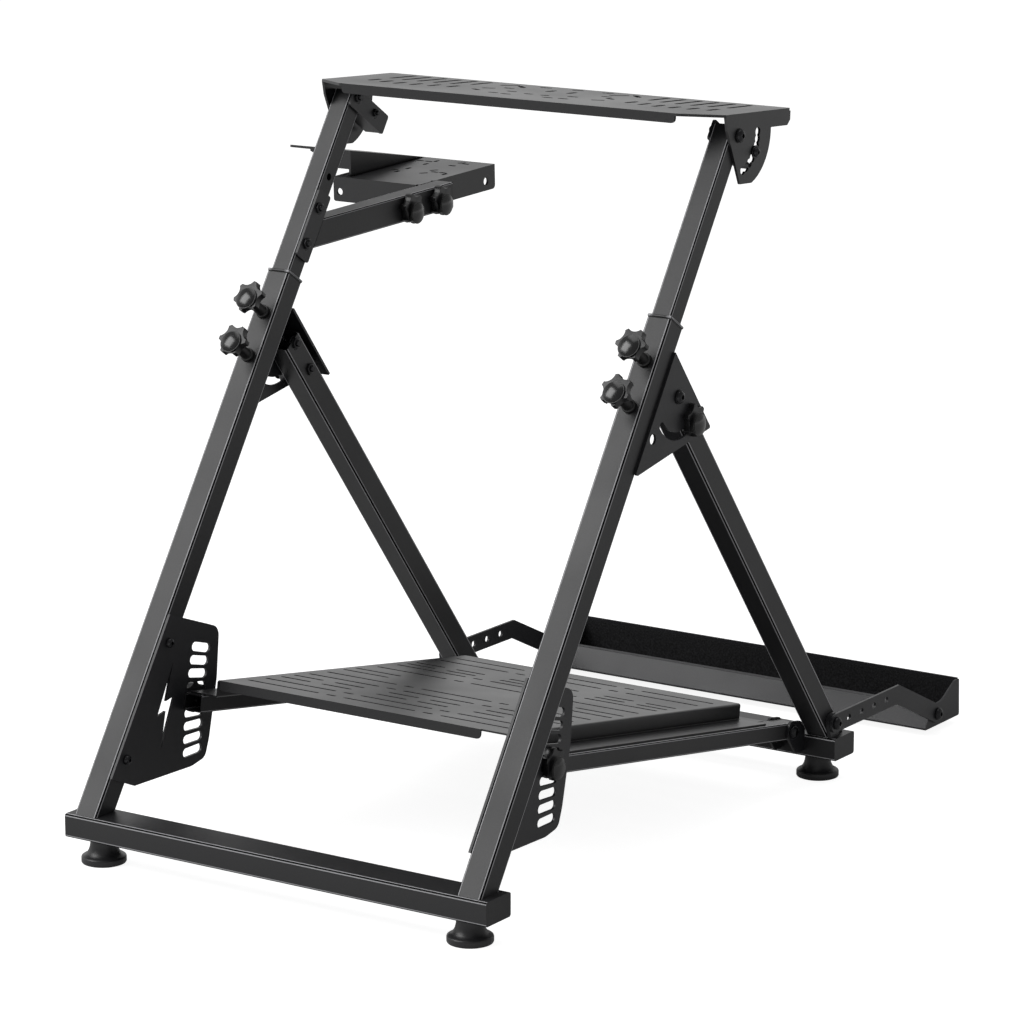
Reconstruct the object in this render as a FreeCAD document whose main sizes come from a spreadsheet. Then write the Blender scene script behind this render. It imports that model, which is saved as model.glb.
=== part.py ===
# Racing wheel stand: two folding leg frames, a wheel plate, a pedal deck, a shifter mount
# and a low tray behind the rear bar that stops the chair's castors.
# Axes: X across the stand, Y from the front bar towards the driver, Z up from the floor.
import FreeCAD, Part
import math
import os
import Sketcher

V = FreeCAD.Vector
doc = FreeCAD.newDocument("wheel_stand")
sheet = doc.addObject("Spreadsheet::Sheet", "Sizes")

SIZES = (
    ("bar_width", 560, "front and rear bar, across"),
    ("bar_depth", 46, "bar section, along Y"),
    ("bar_height", 27, "bar section, along Z"),
    ("tube_wall", 1.5, "wall of every steel tube"),
    ("tube_corner", 3, "outer corner radius of the bars and legs"),
    ("small_corner", 2, "outer corner radius of the thinner tubes"),
    ("foot_height", 28, "floor to the underside of a bar"),
    ("foot_radius", 25, "foot disc"),
    ("foot_neck", 11.5, "foot neck radius"),
    ("foot_bell", 10, "radius of the foot's hollow flare"),
    ("foot_inset", 35.5, "bar end to foot centre"),
    ("leg_inset", 10, "bar end to the outside of a leg"),
    ("leg_size", 30, "square leg tube"),
    ("leg_start", 4, "bar front face to the leg's front edge"),
    ("leg_lean", 33.4, "front leg from the vertical, degrees"),
    ("leg_length", 662, "front edge of the lower leg"),
    ("collar_height", 4.5, "plastic collar on the lower leg"),
    ("upper_size", 25, "square telescoping tube"),
    ("upper_low", 478, "upper tube's lower end, along the leg"),
    ("upper_end", 7, "wheel plate pivot to the upper tube's top"),
    ("pivot_along", 889.5, "wheel plate pivot, along the leg"),
    ("stud_low", 559, "lower height knob, along the leg"),
    ("stud_step", 54, "between the two height knobs"),
    ("rear_reach", 725, "front face to front face of the bars"),
    ("brace_along", 597, "rear leg pivot, along the front leg"),
    ("brace_behind", 59, "rear leg pivot, behind the leg's front face"),
    ("brace_top", 9, "rear leg pivot to the tube's square end"),
    ("brace_set", 21, "bar front face to the rear leg's middle"),
    ("sheet_steel", 3, "bent and flat plates"),
    ("gusset_low", 487.6, "gusset's lower tip, along the leg"),
    ("gusset_high", 635, "gusset's top, along the leg"),
    ("slot_radius", 43, "pivot to the brace knob"),
    ("tilt_radius", 40, "pivot to the tilt bolt"),
    ("tilt_step", 11, "between two tilt notches, degrees"),
    ("tilt_notch", 5.1, "radius of a tilt notch"),
    ("bolt_radius", 4, "M8 bolts"),
    ("pin_radius", 3, "M6 tilt bolt"),
    ("clearance", 0.3, "bolt holes and running faces"),
    ("knob_radius", 18, "star knobs"),
    ("wheel_tilt", 3.2, "wheel plate falls towards the driver, degrees"),
    ("wheel_drop", 24, "pivot to the wheel plate's top"),
    ("wheel_front", 57, "pivot to the wheel plate's front edge"),
    ("wheel_back", 109.5, "pivot to the wheel plate's back edge"),
    ("bracket_radius", 60, "round part of the tilt bracket"),
    ("clip_height", 24, "tilt clip, along the leg"),
    ("clip_reach", 76.5, "tilt clip, front to back"),
    ("rail_slope", 9.35, "pedal deck, degrees"),
    ("rail_height", 20, "pedal rail section"),
    ("rail_width", 25, "pedal rail section"),
    ("rail_length", 556, "pedal rail"),
    ("rail_tail", 12, "hinge to the pedal rail's back end"),
    ("rail_stud", 522, "hinge to the pedal rail's knob"),
    ("hinge_gap", 28, "rear bar's front face to the pedal rail hinge"),
    ("hinge_rise", 9.5, "top of the rear bar to the hinge"),
    ("fan_step", 1.61, "between two slots of the side plate, seen from the hinge, degrees"),
    ("fan_turn", 2.1, "turn from one slot to the next, degrees"),
    ("deck_width", 390, "pedal plate"),
    ("deck_back", 50, "hinge to the pedal plate's back edge"),
    ("deck_length", 491, "pedal plate"),
    ("deck_rise", 20, "rail top to pedal plate top"),
    ("deck_steel", 2, "pedal plate and tray"),
    ("slit_width", 5.5, "slits of the pedal plate"),
    ("strip_low", 687, "shifter strip's lower end, along the leg"),
    ("strip_length", 84, "shifter strip"),
    ("arm_rise", 1.8, "shifter arm, degrees"),
    ("arm_along", 706.6, "shifter arm's lower corner, along the leg"),
    ("arm_behind", 28.3, "shifter arm's lower corner, behind the leg's front face"),
    ("arm_length", 282, "shifter arm"),
    ("arm_height", 31.5, "shifter arm section"),
    ("arm_width", 25, "shifter arm section"),
    ("arm_stud", 189, "shifter arm's corner to its first knob"),
    ("arm_step", 60, "between the two shifter knobs"),
    ("shelf_start", 249, "shifter arm's corner to the shelf's front edge"),
    ("shelf_length", 160, "shifter shelf, front to back"),
    ("shelf_width", 125, "lower deck of the shifter shelf"),
    ("shelf_rise", 31.5, "shifter arm's underside to the shelf's top"),
    ("shelf_inset", 17, "lower deck's left edge to the riser"),
    ("shelf_relief", 30, "shelf's front edge to its side flange"),
    ("shelf_step", 31.5, "upper deck above the lower one, at the front"),
    ("shelf_wing", 70, "upper deck of the shifter shelf"),
    ("tray_reach", 229.5, "rear bar's front face to the tray"),
    ("tray_lift", 9.2, "floor to the underside of the tray"),
    ("tray_depth", 89.5, "tray, front to back"),
    ("tray_wall", 47.5, "tray's back wall"),
    ("tray_lip", 27, "tray's front panel"),
    ("tray_rake", 53.5, "tray's front panel above the level, degrees"),
    ("tray_arm_rise", 18, "top of the rear bar to the tray arm's middle"),
    ("tray_arm_half", 11.3, "half the width of a tray arm"),
    ("tray_arm_elbow", 156, "rear bar's front face to the tray arm's bend"),
    ("tray_hole_step", 30, "between two holes of a tray arm"),
    ("lining", 1, "rough lining of the tray"),
)

for row, (word, number, note) in enumerate(SIZES, 1):
    sheet.set("A%d" % row, word)
    sheet.set("B%d" % row, str(number))
    sheet.setAlias("B%d" % row, word)
    sheet.set("C%d" % row, note)
doc.recompute()


class Size:
    """A number together with the sheet formula that gives it."""

    def __init__(self, value, text=None):
        self.value = float(value)
        self.text = text if text else "(%r)" % float(value)

    def join(self, other, sign, value):
        other = size(other)
        return Size(value(self.value, other.value), "(%s %s %s)" % (self.text, sign, other.text))

    def __add__(self, other):
        return self.join(other, "+", lambda a, b: a + b)

    def __sub__(self, other):
        return self.join(other, "-", lambda a, b: a - b)

    def __mul__(self, other):
        return self.join(other, "*", lambda a, b: a * b)

    def __truediv__(self, other):
        return self.join(other, "/", lambda a, b: a / b)

    def __radd__(self, other):
        return size(other) + self

    def __rsub__(self, other):
        return size(other) - self

    def __rmul__(self, other):
        return size(other) * self

    def __rtruediv__(self, other):
        return size(other) / self

    def __neg__(self):
        return size(0) - self


def size(item):
    return item if isinstance(item, Size) else Size(item)


def sin(angle):
    angle = size(angle)
    return Size(math.sin(math.radians(angle.value)), "sin(%s)" % angle.text)


def cos(angle):
    angle = size(angle)
    return Size(math.cos(math.radians(angle.value)), "cos(%s)" % angle.text)


def slope_of(rise, run):
    """Angle in degrees of a line that climbs by rise over run."""
    rise, run = size(rise), size(run)
    return Size(math.degrees(math.atan(rise.value / run.value)),
                "(atan(%s / %s) / 1deg)" % (rise.text, run.text))


S = {word: Size(number, "Sizes." + word) for word, number, note in SIZES}
NODES = []
worked_out = doc.addObject("App::VarSet", "Worked")


def named(word, item):
    """Keeps a worked-out size under its own name, so that later formulas stay short."""
    item = size(item)
    worked_out.addProperty("App::PropertyFloat", word)
    worked_out.setExpression(word, item.text)
    return Size(item.value, "Worked." + word)


def named_point(word, point):
    return (named(word + "_y", point[0]), named(word + "_z", point[1]))


def bind(thing, prop, item):
    thing.setExpression(prop, size(item).text)


def keep(thing, label):
    thing.Label = label
    NODES.append(thing)
    return thing


def set_place(item, place, turn):
    """Place of an item, and its yaw, pitch and roll in degrees."""
    item.Placement = FreeCAD.Placement(V(0, 0, 0), FreeCAD.Rotation(*[size(a).value for a in turn]))
    for axis, value in zip("xyz", place):
        bind(item, "Placement.Base." + axis, value)
    if any(isinstance(a, Size) for a in turn):
        for word, value in zip(("Yaw", "Pitch", "Roll"), turn):
            bind(item, "Placement.Rotation." + word, value)


def new_body(label, frame=None, node=True):
    """A body in a frame: the y and z of its origin, and how far it leans about X."""
    body = doc.addObject("PartDesign::Body", "B_" + label)
    if frame:
        set_place(body, (0, frame[0], frame[1]), (0, 0, size(frame[2])))
    return keep(body, label) if node else body


def sketch(body, name, role, offset=0):
    item = body.newObject("Sketcher::SketchObject", body.Name + "_" + name)
    plane = [p for p in body.Origin.OriginFeatures if p.Role == role][0]
    item.AttachmentSupport = (plane, "")
    item.MapMode = "FlatFace"
    bind(item, "AttachmentOffset.Base.z", offset)
    return item


def angle_at(centre, point):
    return math.atan2(point[1].value - centre[1].value, point[0].value - centre[0].value)


def draw(item, outlines=(), circles=()):
    """Draws closed outlines of corners (x, y) and circles (x, y, radius), and ties every one to its sizes.

    A corner (x, y, centre, turn) starts an arc about centre, +1 anticlockwise, -1 clockwise.
    """
    shapes, rules = [], []

    def fix(kind, geo, pos, coordinate):
        rules.append((Sketcher.Constraint(kind, -1, 1, geo, pos, coordinate.value), coordinate.text))

    for corners in outlines:
        points = [(size(corner[0]), size(corner[1])) for corner in corners]
        ends = []
        for index, corner in enumerate(corners):
            start, end = points[index], points[(index + 1) % len(points)]
            geo = len(shapes)
            if len(corner) == 2:
                shapes.append(Part.LineSegment(V(start[0].value, start[1].value, 0),
                                               V(end[0].value, end[1].value, 0)))
                ends.append((geo, 1, 2))
                continue
            centre, turn = [size(c) for c in corner[2]], corner[3]
            radius = math.hypot(start[0].value - centre[0].value, start[1].value - centre[1].value)
            whole = Part.Circle(V(centre[0].value, centre[1].value, 0), V(0, 0, 1), radius)
            first, last = angle_at(centre, start), angle_at(centre, end)
            if turn < 0:
                first, last = last, first
            while last <= first:
                last += 2 * math.pi
            shapes.append(Part.ArcOfCircle(whole, first, last))
            ends.append((geo, 1, 2) if turn > 0 else (geo, 2, 1))
        for index, (geo, start, end) in enumerate(ends):
            following = ends[(index + 1) % len(ends)]
            rules.append((Sketcher.Constraint("Coincident", geo, end, following[0], following[1]), None))
            fix("DistanceX", geo, start, points[index][0])
            fix("DistanceY", geo, start, points[index][1])
            if len(corners[index]) > 2:
                after = points[(index + 1) % len(points)]
                across = abs(after[0].value - points[index][0].value)
                along = abs(after[1].value - points[index][1].value)
                kind, which = ("DistanceX", 0) if along >= across else ("DistanceY", 1)
                fix(kind, geo, 3, size(corners[index][2][which]))
    for x, y, radius in circles:
        x, y, radius = size(x), size(y), size(radius)
        geo = len(shapes)
        shapes.append(Part.Circle(V(x.value, y.value, 0), V(0, 0, 1), radius.value))
        rules.append((Sketcher.Constraint("Radius", geo, radius.value), radius.text))
        fix("DistanceX", geo, 3, x)
        fix("DistanceY", geo, 3, y)
    item.addGeometry(shapes, False)
    item.addConstraint([rule for rule, text in rules])
    for number, (rule, text) in enumerate(rules):
        if text:
            item.setExpression("Constraints[%d]" % number, text)


def rounded(corners):
    """An outline whose corners (x, y, radius) are rounded off."""
    made = []
    for index, corner in enumerate(corners):
        x, y = size(corner[0]), size(corner[1])
        if len(corner) == 2:
            made.append((x, y))
            continue
        before, after = corners[index - 1], corners[(index + 1) % len(corners)]
        ways = []
        for other in (before, after):
            dx, dy = size(other[0]).value - x.value, size(other[1]).value - y.value
            ways.append((dx / math.hypot(dx, dy), dy / math.hypot(dx, dy)))
        (ax, ay), (bx, by) = ways
        half_angle = math.acos(max(-1, min(1, ax * bx + ay * by))) / 2
        middle = (ax + bx, ay + by)
        long = math.hypot(*middle)
        radius = size(corner[2])
        back = radius / math.tan(half_angle)
        depth = radius / math.sin(half_angle)
        centre = (x + depth * (middle[0] / long), y + depth * (middle[1] / long))
        turn = 1 if ax * by - ay * bx < 0 else -1
        made.append((x + back * ax, y + back * ay, centre, turn))
        made.append((x + back * bx, y + back * by))
    return made


def rectangle(x0, y0, x1, y1, radius=None):
    corners = [(x0, y0), (x1, y0), (x1, y1), (x0, y1)]
    if radius is None:
        return corners
    return rounded([(x, y, radius) for x, y in corners])


def slot(x, y, length, width, angle=0):
    """A slot with round ends about its middle (x, y)."""
    radius = size(width) / 2
    half_way = size(length) / 2 - radius
    one = (x - half_way * cos(angle), y - half_way * sin(angle))
    two = (x + half_way * cos(angle), y + half_way * sin(angle))
    dx, dy = radius * sin(angle), radius * cos(angle)
    return [(one[0] + dx, one[1] - dy), (two[0] + dx, two[1] - dy, two, 1),
            (two[0] - dx, two[1] + dy), (one[0] - dx, one[1] + dy, one, 1)]


def polar(centre, radius, angle):
    return (centre[0] + radius * cos(angle), centre[1] + radius * sin(angle))


def arc_slot(centre, radius, width, first, last):
    """A slot that bends round a centre, from one angle to another."""
    inner, outer = radius - size(width) / 2, radius + size(width) / 2
    return [polar(centre, outer, first) + (centre, 1),
            polar(centre, outer, last) + (polar(centre, radius, last), 1),
            polar(centre, inner, last) + (centre, -1),
            polar(centre, inner, first) + (polar(centre, radius, first), 1)]


def notched_slot(radius, notch, step, first, count):
    """Round notches in a row about the origin, each open to the next."""
    half_chord = radius * sin(step / 2)
    reach = Size(math.sqrt(notch.value ** 2 - half_chord.value ** 2),
                 "sqrt(%s * %s - %s * %s)" % (notch.text, notch.text, half_chord.text, half_chord.text))
    middle = radius * cos(step / 2)
    centres = [polar((0, 0), radius, first + step * n) for n in range(count)]
    gates = [first + step * (n + 0.5) for n in range(count - 1)]
    far = [polar((0, 0), middle + reach, a) for a in gates]
    near = [polar((0, 0), middle - reach, a) for a in gates]
    made = [far[n] + (centres[n + 1], 1) for n in range(count - 1)]
    made += [near[n] + (centres[n], 1) for n in reversed(range(count - 1))]
    return made


def feature(body, kind, item, length):
    made = body.newObject("PartDesign::" + kind, item.Name + "_" + kind.lower())
    made.Profile = item
    bind(made, "Length", length)
    body.Tip = made
    return made


def pad(body, name, role, low, high, corners):
    item = sketch(body, name, role, low)
    draw(item, [corners])
    return feature(body, "Pad", item, size(high) - size(low))


def cut(body, name, role, low, high, corners=(), circles=()):
    """Cuts outlines and circles through everything between low and high, five outlines to a sketch."""
    for start in range(0, max(1, len(corners)), 5):
        item = sketch(body, name + str(start), role, high)
        draw(item, corners[start:start + 5], () if start else circles)
        feature(body, "Pocket", item, size(high) - size(low))


def slab(label, role, low, high, corners, frame=None, node=True):
    """A flat piece: an outline on an origin plane, padded from low to high along its normal."""
    body = new_body(label, frame, node)
    pad(body, "outline", role, low, high, corners)
    return body


def tube(label, role, low, high, box, corner, frame=None, node=True):
    """An open square tube along a plane's normal."""
    x0, y0, x1, y1 = box
    body = new_body(label, frame, node)
    section = sketch(body, "section", role, low)
    draw(section, [rectangle(x0, y0, x1, y1, corner),
                   rectangle(x0 + wall, y0 + wall, x1 - wall, y1 - wall, corner - wall * 0.75)])
    feature(body, "Pad", section, size(high) - size(low))
    return body


def sides(low, high):
    """The same span along X on the right and, mirrored, on the left."""
    low, high = size(low), size(high)
    return (("right", low, high), ("left", -high, -low))


def inner_wall(hand, low, high):
    """The span of a tube's wall on the stand's inside, with room for a cut."""
    return (low - 1, low + wall * 2) if hand == "right" else (high - wall * 2, high + 1)


def outer_wall(hand, low, high):
    return (high - wall * 2, high + 1) if hand == "right" else (low - 1, low + wall * 2)


def group(label, items):
    made = doc.addObject("Part::Compound", "G_" + label)
    made.Links = items
    return keep(made, label)


wall = S["tube_wall"]
steel = S["sheet_steel"]
thin = S["deck_steel"]
loose = S["clearance"]
bolt = S["bolt_radius"]
bolt_hole = bolt + loose
half = named("half_width", S["bar_width"] / 2)
bar_low = S["foot_height"]
bar_top = named("bar_top", bar_low + S["bar_height"])
leg_out = named("leg_out", half - S["leg_inset"])
leg_in = named("leg_in", leg_out - S["leg_size"])
leg_mid = named("leg_mid", (leg_out + leg_in) / 2)
span = S["leg_size"]
gap = named("upper_gap", (span - S["upper_size"]) / 2)
lean = S["leg_lean"]
sin_lean = named("sin_lean", sin(lean))
cos_lean = named("cos_lean", cos(lean))
tan_lean = named("tan_lean", sin_lean / cos_lean)
rear_face = S["rear_reach"]

# frame of the front legs: y runs back from the front face, z up along the leg
LEG = (S["leg_start"], bar_top, -lean)


def leg(along, behind):
    """Point in the stand's frame: distance up the leg and behind its front face."""
    y = S["leg_start"] + along * sin_lean + behind * cos_lean
    z = bar_top + along * cos_lean - behind * sin_lean
    return (size(y), size(z))


def from_leg(y, z):
    """The same point the other way: behind the leg's front face, and up along it."""
    dy, dz = y - S["leg_start"], z - bar_top
    return (dy * cos_lean - dz * sin_lean, dy * sin_lean + dz * cos_lean)


# bars and feet
for label, start in (("front_bar", size(0)), ("rear_bar", rear_face)):
    end = start + S["bar_depth"]
    bar = slab(label, "YZ_Plane", -half, half, rectangle(start, bar_low, end, bar_top, S["tube_corner"]))
    cut(bar, "hollow", "YZ_Plane", wall - half, half - wall,
        [rectangle(start + wall, bar_low + wall, end - wall, bar_top - wall, S["tube_corner"] - wall)])

disc = S["foot_radius"]
neck = S["foot_neck"]
bell = S["foot_bell"]
foot_x = half - S["foot_inset"]
flare = (neck + bell, S["foot_height"] - 9)
flare_low = polar(flare, bell, 255)
for end, start in (("front", size(0)), ("rear", rear_face)):
    for hand, sign in (("left", -1), ("right", 1)):
        foot = new_body("%s_%s_foot" % (end, hand))
        profile = sketch(foot, "profile", "XZ_Plane")
        draw(profile, [[(0, 0), (disc - 1, 0), (disc, 1), (disc, 7), (disc - 1.5, 8.5),
                        flare_low + (flare, -1), (neck, flare[1]), (neck, S["foot_height"]),
                        (0, S["foot_height"])]])
        turned = foot.newObject("PartDesign::Revolution", foot.Name + "_turned")
        turned.Profile = profile
        turned.ReferenceAxis = (profile, ["V_Axis"])
        turned.Angle = 360
        foot.Tip = turned
        set_place(foot, (sign * foot_x, start + S["bar_depth"] / 2, size(0)), (0, 0, 0))

# front legs: lower tubes, collars and the telescoping upper tubes
stud_places = [S["stud_low"] + S["stud_step"] * n for n in (0, 1)]
rings = []
for hand, low, high in sides(leg_in, leg_out):
    lower = tube(hand + "_lower_leg", "XY_Plane", 0, S["leg_length"], (low, size(0), high, span),
                 S["tube_corner"], LEG)
    cut(lower, "mitre", "YZ_Plane", low - 1, high + 1,
        [[(-2, -2 * tan_lean), (-2, -9), (span + 2, -9), (span + 2, (span + 2) * tan_lean)]])
    cut(lower, "stud_holes", "XZ_Plane", -3 * wall, 1,
        circles=[((low + high) / 2, along, bolt_hole) for along in stud_places])
    ring = new_body(hand + "_collar", LEG, False)
    section = sketch(ring, "section", "XY_Plane", S["leg_length"])
    draw(section, [rectangle(low, 0, high, span, S["tube_corner"]),
                   rectangle(low + gap - loose, gap - loose, high - gap + loose, span - gap + loose,
                             S["small_corner"])])
    feature(ring, "Pad", section, S["collar_height"])
    rings.append(ring)
group("collars", rings)

pivot = named_point("pivot", leg(S["pivot_along"], span / 2))
strip_holes = [S["strip_low"] + offset for offset in (15.5, 60.5, 104)]
for hand, low, high in sides(leg_in + gap, leg_out - gap):
    upper = tube(hand + "_upper_tube", "XY_Plane", S["upper_low"], S["pivot_along"] + S["upper_end"],
                 (low, gap, high, span - gap), S["small_corner"] + 0.5, LEG)
    cut(upper, "pivot_hole", "YZ_Plane", low - 1, high + 1,
        circles=[(span / 2, S["pivot_along"], bolt_hole)])
    cut(upper, "shifter_holes", "YZ_Plane", *inner_wall(hand, low, high),
        circles=[(span / 2, along, bolt_hole) for along in strip_holes])

# rear legs between the gussets and the rear bar, in a frame with z up along the tube
brace_at = named_point("brace", leg(S["brace_along"], S["brace_behind"]))
brace_height = named("brace_height", brace_at[1] - bar_top)
brace = named("brace_lean", slope_of(rear_face + S["brace_set"] - brace_at[0], brace_height))
sin_brace = named("sin_brace", sin(brace))
cos_brace = named("cos_brace", cos(brace))
tan_brace = named("tan_brace", sin_brace / cos_brace)
REAR = (brace_at[0], brace_at[1], brace)


def rear(along, across):
    """Point down the rear leg from its pivot, and across it towards the driver."""
    y = brace_at[0] + along * sin_brace + across * cos_brace
    z = brace_at[1] - along * cos_brace + across * sin_brace
    return (size(y), size(z))


def from_rear(y, z):
    dy, dz = y - brace_at[0], z - brace_at[1]
    return (dy * cos_brace + dz * sin_brace, dz * cos_brace - dy * sin_brace)


arm_level = named("arm_level", bar_top + S["tray_arm_rise"])
tray_pivot = (named("tray_pivot", brace_at[0] + (brace_at[1] - arm_level) * tan_brace), arm_level)
tray_pivot_local = named_point("tray_pivot_on_leg", from_rear(*tray_pivot))
side_gap = 0.5
foot_line = named("foot_line", -brace_height / cos_brace)
for hand, low, high in sides(leg_in + side_gap, leg_out - side_gap):
    brace_tube = tube(hand + "_rear_leg", "XY_Plane", foot_line - span, S["brace_top"],
                      (low, -span / 2, high, span / 2), S["tube_corner"], REAR)
    wide = span / 2 + 2
    cut(brace_tube, "mitre", "YZ_Plane", low - 1, high + 1,
        [[(-wide, foot_line + wide * tan_brace), (-wide, foot_line - 2 * span),
          (wide, foot_line - 2 * span), (wide, foot_line - wide * tan_brace)]])
    cut(brace_tube, "bolt_holes", "YZ_Plane", low - 1, high + 1,
        circles=[(0, 0, bolt_hole), (0, -S["slot_radius"], bolt_hole)])
    cut(brace_tube, "tray_hole", "YZ_Plane", *outer_wall(hand, low, high),
        circles=[tray_pivot_local + (bolt_hole,)])

# gussets: plates on the outside of the lower legs, with a flange behind the rear leg
gusset_edge = span - 4
slot_first = brace - 180
slot_last = brace - 86
for hand, low, high in sides(leg_out, leg_out + steel):
    gusset = slab(hand + "_gusset", "YZ_Plane", low, high,
                  rounded([leg(S["gusset_high"], gusset_edge), leg(S["gusset_low"], gusset_edge) + (3,),
                           rear(77.6, 25.3) + (2,)]))
    fold_low, fold_high = (leg_in, high) if hand == "right" else (low, -leg_in)
    pad(gusset, "flange", "YZ_Plane", fold_low, fold_high,
        [rear(-37, 25.3 - steel), rear(73, 25.3 - steel), rear(73, 25.3), rear(-37, 25.3)])
    cut(gusset, "holes", "YZ_Plane", low - 1, high + 1,
        [arc_slot(brace_at, S["slot_radius"], 9, slot_first, slot_last)],
        [brace_at + (bolt_hole,), leg(S["brace_along"] - 60, gusset_edge + 10.5) + (6,)])

# side plates on the inner faces of the lower legs: nine fanned slots and a zigzag cut-out
slope = S["rail_slope"]
hinge = named_point("hinge", (rear_face - S["hinge_gap"], bar_top + S["hinge_rise"]))
fan_radius = S["rail_stud"] + 2
plate_corners = [(0.5, 47), (43, 54), (130, 108.5, 30), (148, 126, 12), (143, 148, 60), (119.5, 212.6, 60),
                 (92.5, 264, 14), (70, 259, 40), (0.5, 243)]
zigzag = [(142, 202), (128, 160), (143, 163), (117, 106), (127, 149), (112, 146)]
for hand, low, high in sides(leg_in - steel, leg_in):
    plate = slab(hand + "_side_plate", "YZ_Plane", low, high, rounded(plate_corners), LEG)
    fan = []
    for number in range(9):
        seen = 180 - slope - 0.1 + S["fan_step"] * (number - 4)
        tilt_here = slope - 1.4 - S["fan_turn"] * (number - 4)
        place = "fan_%s_%d" % (hand, number)
        middle = named_point(place, from_leg(*polar(hinge, fan_radius, seen)))
        fan.append(slot(middle[0], middle[1], 34, 10.5, lean - tilt_here))
    cut(plate, "fan", "YZ_Plane", low - 1, high + 1, fan)
    cut(plate, "zigzag", "YZ_Plane", low - 1, high + 1,
        [[from_leg(size(y), size(z)) for y, z in zigzag]])

# pedal deck, in a frame at its hinge whose y runs back along the rails and z stands square to them
DECK = (hinge[0], hinge[1], -slope)
rail_out = named("rail_out", leg_in - steel)
rail_in = named("rail_in", rail_out - S["rail_width"])
rise = named("rail_rise", S["rail_height"] / 2)


def deck(along, up):
    """Point up the pedal rail from its hinge and above its centre line."""
    y = hinge[0] - along * cos(slope) + up * sin(slope)
    z = hinge[1] + along * sin(slope) + up * cos(slope)
    return (size(y), size(z))


for hand, low, high in sides(rail_in, rail_out - loose):
    rail = tube(hand + "_pedal_rail", "XZ_Plane", -S["rail_tail"], S["rail_length"] - S["rail_tail"],
                (low, -rise, high, rise), S["small_corner"], DECK)
    cut(rail, "hinge_hole", "YZ_Plane", low - 1, high + 1, circles=[(0, 0, bolt_hole)])
    cut(rail, "stud_hole", "YZ_Plane", *outer_wall(hand, low, high),
        circles=[(-S["rail_stud"], 0, bolt_hole)])

deck_half = named("deck_half", S["deck_width"] / 2)
deck_top = named("deck_top", rise + S["deck_rise"])
deck_front = named("deck_front", S["deck_back"] + S["deck_length"])
flange_half = rail_out - 6
bend = S["small_corner"] + 1
hat = [(flange_half, rise), (flange_half, rise + thin), (deck_half, rise + thin, bend - thin),
       (deck_half, deck_top, bend), (-deck_half, deck_top, bend), (-deck_half, rise + thin, bend - thin),
       (-flange_half, rise + thin), (-flange_half, rise), (thin - deck_half, rise, bend),
       (thin - deck_half, deck_top - thin, bend - thin), (deck_half - thin, deck_top - thin, bend - thin),
       (deck_half - thin, rise, bend)]
pedal = slab("pedal_plate", "XZ_Plane", S["deck_back"], deck_front, rounded(hat), DECK)
lip_left, lip_right = 5 - deck_half, deck_half - 34
pad(pedal, "lip", "XZ_Plane", deck_front, deck_front + thin,
    rounded([(lip_left, deck_top - 11, 4), (lip_right, deck_top - 11, 5), (lip_right, deck_top),
             (lip_left, deck_top)]))

whole_rows = (504, 471, 388, 353, 252, 212, 122, 87)
split_rows = (441, 416, 191, 171)
side_rows = (315, 290)
slit = S["slit_width"]
long_slits = [(x, width) for x, width in ((-131, 98), (0, 96), (131, 98))]
short_slits = [(x, 41) for x in (-160, -103, -28, 28, 103, 160)]
for name, rows, places in (("whole", whole_rows, long_slits), ("dashes", whole_rows, [(-65, 13), (65, 13)]),
                           ("split", split_rows, short_slits), ("ends", side_rows, [(-152, 64), (152, 64)])):
    cut(pedal, name, "XY_Plane", deck_top - 2 * thin, deck_top + 1,
        [slot(size(x), size(-along), length, slit) for along in rows for x, length in places])

cross_x = rail_in - loose
cross = slab("pedal_cross_plate", "XY_Plane", rise - steel, rise,
             rectangle(-cross_x, -S["deck_back"] - 16, cross_x, -20, 3), DECK)
cut(cross, "slots", "XY_Plane", rise - 2 * steel, rise + 1,
    [slot(size(x), size(-34), 34, 6) for x in (-150, -70, 70, 150)])

# hinge brackets: folded steel between the rear bar and the pedal rails
hinge_brackets = []
for hand, low, high in sides(rail_in - steel - loose, rail_out + steel - loose):
    ear = rounded([(rear_face, bar_low + 8), (rear_face, bar_top + 7), (rear_face - 10, bar_top + 19, 6),
                   (hinge[0] - 6, hinge[1] + 14, 8), (hinge[0] - 13, hinge[1] - 2, 8),
                   (rear_face - 20, bar_low + 8, 4)])
    bracket = slab(hand + "_hinge_bracket", "YZ_Plane", low, high, ear, node=False)
    cut(bracket, "mouth", "YZ_Plane", low + steel, high - steel,
        [[(rear_face - steel, bar_low), (rear_face - steel, hinge[1] + 30),
          (hinge[0] - 30, hinge[1] + 30), (hinge[0] - 30, bar_low)]])
    cut(bracket, "hinge_hole", "YZ_Plane", low - 1, high + 1, circles=[hinge + (bolt_hole,)])
    hinge_brackets.append(bracket)
group("hinge_brackets", hinge_brackets)

# wheel plate with its two tilt brackets, in a frame at the pivot that leans with the plate
tilt = S["wheel_tilt"]
WHEEL = (pivot[0], pivot[1], -tilt)
top = S["wheel_drop"]
under = top - steel
front = -S["wheel_front"]
back = S["wheel_back"]
bracket_in = named("bracket_in", leg_out - gap + loose)
bracket_out = named("bracket_out", bracket_in + steel)
nose_half = leg_in - 14
shoulder = front + 28
wheel_plate = slab("wheel_plate", "XY_Plane", under, top,
                   rounded([(-bracket_out, shoulder), (-nose_half, front, 6), (nose_half, front, 6),
                            (bracket_out, shoulder), (bracket_out, back, 3), (-bracket_out, back, 3)]),
                   WHEEL)
pad(wheel_plate, "lip", "XZ_Plane", -front - steel, -front,
    rounded([(3.5 - nose_half, top - 11, 5), (nose_half - 3.5, top - 11, 5), (nose_half - 3.5, under),
             (3.5 - nose_half, under)]))
notch_first = named("notch_first", tilt - lean - S["tilt_step"] * 4)
bracket_round = (size(8), size(2))
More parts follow.
